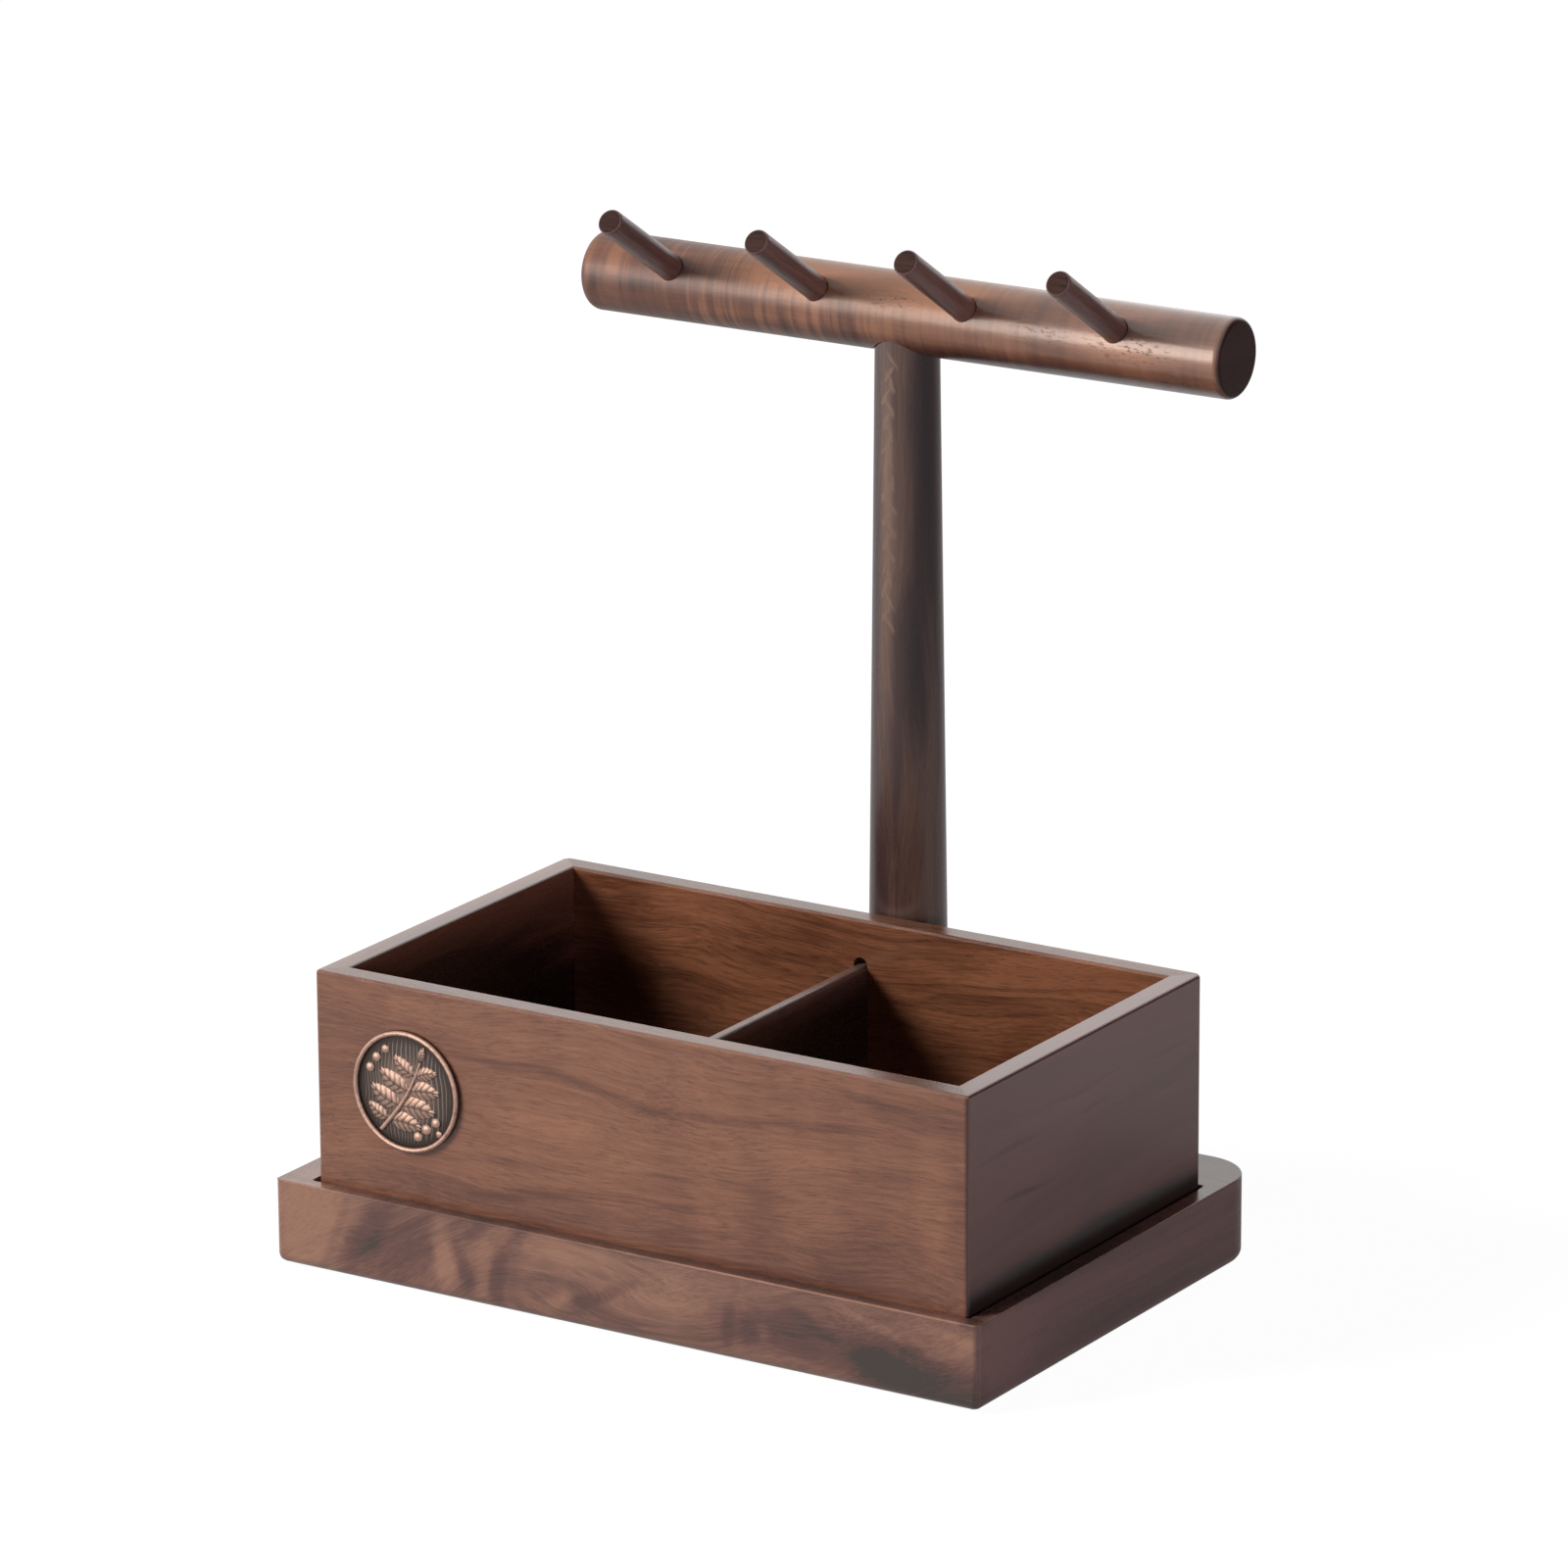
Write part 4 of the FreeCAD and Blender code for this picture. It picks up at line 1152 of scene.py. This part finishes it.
def make_copper():
    """Rubbed copper: bright on what stands out, dark in what lies deep, with painted shade just inside the
    ring.
    """
    material, tree, surface_in = new_material("antique_copper")
    where = add(tree, "ShaderNodeTexCoord").outputs["Object"]
    from_middle = stretch(tree, where, (1.0, 0.0, 1.0), (-medal_x, 0.0, -medal_z))
    away = vector_node(tree, "LENGTH", from_middle)
    field_edge, bright_above, dark_below = medal_r - 1.6 * MM, 0.75 * MM, 1.15 * MM
    rubbed = remap(tree, split(tree, where, "Y"), medal_low.y + dark_below, medal_low.y + bright_above)
    hollow = add(tree, "ShaderNodeAttribute", attribute_type="GEOMETRY",
                 attribute_name="hollow").outputs["Fac"]
    raised = math_node(tree, "SUBTRACT", rubbed, times(tree, hollow, 0.85), clamp=True)
    mottle = noise(tree, stretch(tree, where, (900.0,) * 3), 4.0, 0.6)
    wear = math_node(tree, "MULTIPLY", raised, remap(tree, mottle, 0.25, 0.6, 0.55, 1.0), clamp=True)
    waves = {"Vector": where, "Scale": 250.0, "Distortion": 16.0, "Detail": 1.5, "Detail Scale": 0.22}
    hatch = add(tree, "ShaderNodeTexWave", waves, wave_type="BANDS", bands_direction="X").outputs["Fac"]
    inside_ring = remap(tree, away, field_edge - 0.4 * MM, field_edge, 1.0, 0.0)
    line = times(tree, remap(tree, hatch, 0.5, 1.0), inside_ring)
    field = blend_colour(tree, times(tree, line, 0.8), (0.060, 0.048, 0.043, 1.0), (0.22, 0.175, 0.150, 1.0))
    # Painted shade of the ring: the field darkens towards the ring, on top of the patina in the creases.
    corner = remap(tree, away, field_edge - 3.5 * MM, field_edge - 0.5 * MM)
    dark = math_node(tree, "MAXIMUM", hollow, times(tree, corner, 0.85))
    field = blend_colour(tree, dark, field, (0.040, 0.029, 0.025, 1.0))
    colour = blend_colour(tree, wear, field, (0.48, 0.305, 0.24, 1.0))
    relief = times(tree, line, math_node(tree, "SUBTRACT", 1.0, rubbed))
    bump = add(tree, "ShaderNodeBump", {"Strength": 0.8, "Distance": 0.2 * MM, "Height": relief})
    surface = add(tree, "ShaderNodeBsdfPrincipled", {
        "Base Color": colour, "Metallic": 0.85, "Normal": bump.outputs[0],
        "Roughness": math_node(tree, "MULTIPLY_ADD", mottle, 0.2, 0.36)})
    tree.links.new(surface.outputs[0], surface_in)
    return material


copper = make_copper()
print("copper nodes", len(copper.node_tree.nodes))

# %% [markdown]
# The disc has a raised round ring and a sunken field that swells a little towards its middle. It is
# round, so one half outline, spun about Y, gives the back, the rim, the ring and the domed field.

# %% Medallion disc
ring_w, field_depth, dome = 1.5 * MM, 1.3 * MM, 0.35 * MM
face_y, back_y = medal_low.y, medal_high.y
field_y = face_y + field_depth
ring_mid, field_r = medal_r - ring_w / 2, medal_r - ring_w
dome_steps = 10


def field_height(x, z):
    """Y of the medallion's domed field at a place from its middle."""
    share = min(1.0, math.hypot(x, z) / field_r)
    return field_y - dome * (1 - share ** 2)


outline = [(0.0, back_y), (medal_r, back_y), (medal_r, face_y + ring_w / 2)]
outline += [(ring_mid + across, face_y + ring_w / 2 - out)
            for across, out in arc_points((0, 0), ring_w / 2, 0, math.pi, 10)]
radii = [field_r * (1 - step / dome_steps) for step in range(dome_steps + 1)]
outline += [(r, field_height(r, 0)) for r in radii]
bm = turned([(medal_x + r, y, medal_z) for r, y in outline], (medal_x, 0, medal_z), (0, 1, 0), 96)
finish_piece("medallion_disc", bm, "box", copper, "antique_copper", ["medallion"], sharp=50.0)

# %% [markdown]
# The relief is a plain sprig of leaves and berries, made for this part. A displaced plane could
# carry it, but would need very many faces to keep the creases sharp. Instead each leaf is a small
# grid drawn to two points and arched, each berry half a ball, and the stem a tapering tube.


# %% Sprig helpers
def add_leaf(bm, hollow, root, turn, length, width, crown):
    """A leaf: a grid drawn to two points, arched across, with a crease and slanting side veins."""
    for v in bmesh.ops.create_grid(bm, x_segments=44, y_segments=16, size=1.0)["verts"]:
        t, s = (v.co.x + 1) / 2, v.co.y
        half = width / 2 * math.sin(math.pi * t ** 0.8) ** 0.85
        vein = max(0.0, math.sin(2 * math.pi * (6.0 * t - 1.1 * abs(s)))) ** 2
        crease = math.exp(-(s / 0.10) ** 2)
        v[hollow] = min(1.0, 0.28 + 0.8 * vein * min(1.0, 4 * (1 - abs(s))) + crease)
        arch = (1 - s * s) ** 0.8 * math.sin(math.pi * min(1, t * 1.02)) ** 0.6
        lift = crown * arch - 0.16 * MM * v[hollow]
        sway = math.sin(t * math.pi) * length * 0.06
        px, pz = t * length, s * half + sway
        x = root[0] + px * math.cos(turn) - pz * math.sin(turn)
        z = root[1] + px * math.sin(turn) + pz * math.cos(turn)
        v.co = Vector((medal_x + x, field_height(x, z) - lift + 0.05 * MM, medal_z + z))


def add_berry(bm, x, z, radius):
    """A berry: a ball pressed flat and half sunk in the field."""
    made = bmesh.ops.create_icosphere(bm, subdivisions=3, radius=radius)["verts"]
    bmesh.ops.scale(bm, vec=(1.0, 0.62, 1.0), verts=made)
    bmesh.ops.translate(bm, vec=(medal_x + x, field_height(x, z), medal_z + z), verts=made)


def add_stem(bm, points, thick):
    """A stem: a small ring carried along points and bridged."""
    rings = []
    for number, (x, z) in enumerate(points):
        ahead = points[min(number + 1, len(points) - 1)]
        behind = points[max(number - 1, 0)]
        way = math.atan2(ahead[1] - behind[1], ahead[0] - behind[0])
        r = thick * (1 - 0.5 * number / len(points))
        circle = bmesh.ops.create_circle(bm, cap_ends=False, radius=r, segments=8)["verts"]
        spin = Matrix.Rotation(-way, 4, "Y") @ Matrix.Rotation(math.pi / 2, 4, "Y")
        place = Matrix.Translation((medal_x + x, field_height(x, z) - r * 0.3, medal_z + z))
        bmesh.ops.transform(bm, matrix=place @ spin, verts=circle)
        rings.append(list({e for v in circle for e in v.link_edges}))
    for first, second in zip(rings, rings[1:]):
        bmesh.ops.bridge_loops(bm, edges=first + second)
    for last in (rings[0], rings[-1]):
        bmesh.ops.contextual_create(bm, geom=[e for e in last if e.is_valid])


# %% Sprig relief
stem_steps = 14
stem = [((-9.0 + 14.5 * t + 1.8 * math.sin(t * 3.2)) * MM, (-13.0 + 23.0 * t) * MM)
        for t in [i / stem_steps for i in range(stem_steps + 1)]]
leaves = [(0.12, 148, 9.6), (0.12, -6, 12.6), (0.33, 152, 12.6), (0.33, -4, 13.6), (0.55, 150, 12.6),
          (0.55, 4, 12.0), (0.77, 142, 10.2), (0.77, 16, 9.0), (0.98, 74, 5.6)]
berries = [(7.2, -10.6, 1.7), (10.6, -8.0, 1.6), (4.0, -13.4, 1.6), (11.6, -11.4, 1.2),
           (-12.8, 5.6, 1.6), (-10.4, 9.2, 1.6), (-7.2, 12.2, 1.4)]
bm = bmesh.new()
hollow = bm.verts.layers.float.new("hollow")
add_stem(bm, stem, 0.75 * MM)
for share, turn, length in leaves:
    root = stem[round(share * stem_steps)]
    add_leaf(bm, hollow, root, math.radians(turn), length * MM, 0.54 * length * MM, 0.9 * MM)
for x, z, radius in berries:
    add_berry(bm, x * MM, z * MM, radius * MM)
finish_piece("sprig_relief", bm, "box", copper, "antique_copper", sharp=60.0)
print("leaves", len(leaves), "berries", len(berries))

# %% [markdown]
# Feet, screw and bottom panel keep their CAD shapes, which are right as they are: hardly any of them
# shows. They only get a finish: dull black rubber, plain steel and the same walnut. Rubber and steel
# are both one tone with a fine mottle, so one function makes them.


# %% Rubber and steel
def plain_finish(name, colour, metallic, rough, lumps, depth):
    """Simple finish: one tone with a fine mottle in colour, roughness and height."""
    material, tree, surface_in = new_material(name)
    where = add(tree, "ShaderNodeTexCoord").outputs["Object"]
    mottle = noise(tree, stretch(tree, where, (lumps,) * 3), 4.0, 0.6)
    darker = tuple(c * 0.6 for c in colour)
    tint = blend_colour(tree, remap(tree, mottle, 0.3, 0.7), darker + (1.0,), colour + (1.0,))
    bump = add(tree, "ShaderNodeBump", {"Strength": 0.4, "Distance": depth, "Height": mottle})
    surface = add(tree, "ShaderNodeBsdfPrincipled", {
        "Base Color": tint, "Metallic": metallic, "Normal": bump.outputs[0],
        "Roughness": math_node(tree, "MULTIPLY_ADD", mottle, 0.2, rough)})
    tree.links.new(surface.outputs[0], surface_in)
    return material


rubber = plain_finish("foot_rubber", (0.03, 0.03, 0.032), 0.0, 0.6, 2500.0, 0.05 * MM)
steel = plain_finish("screw_steel", (0.55, 0.54, 0.52), 1.0, 0.25, 1800.0, 0.02 * MM)
finish_of = {name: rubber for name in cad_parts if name.startswith("foot_")}
finish_of.update(post_screw=steel, box_bottom_panel=panel_walnut)
for name, finish in finish_of.items():
    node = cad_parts[name]
    node.data.materials.clear()
    node.data.materials.append(finish)
    print("finish on", name, finish.name)
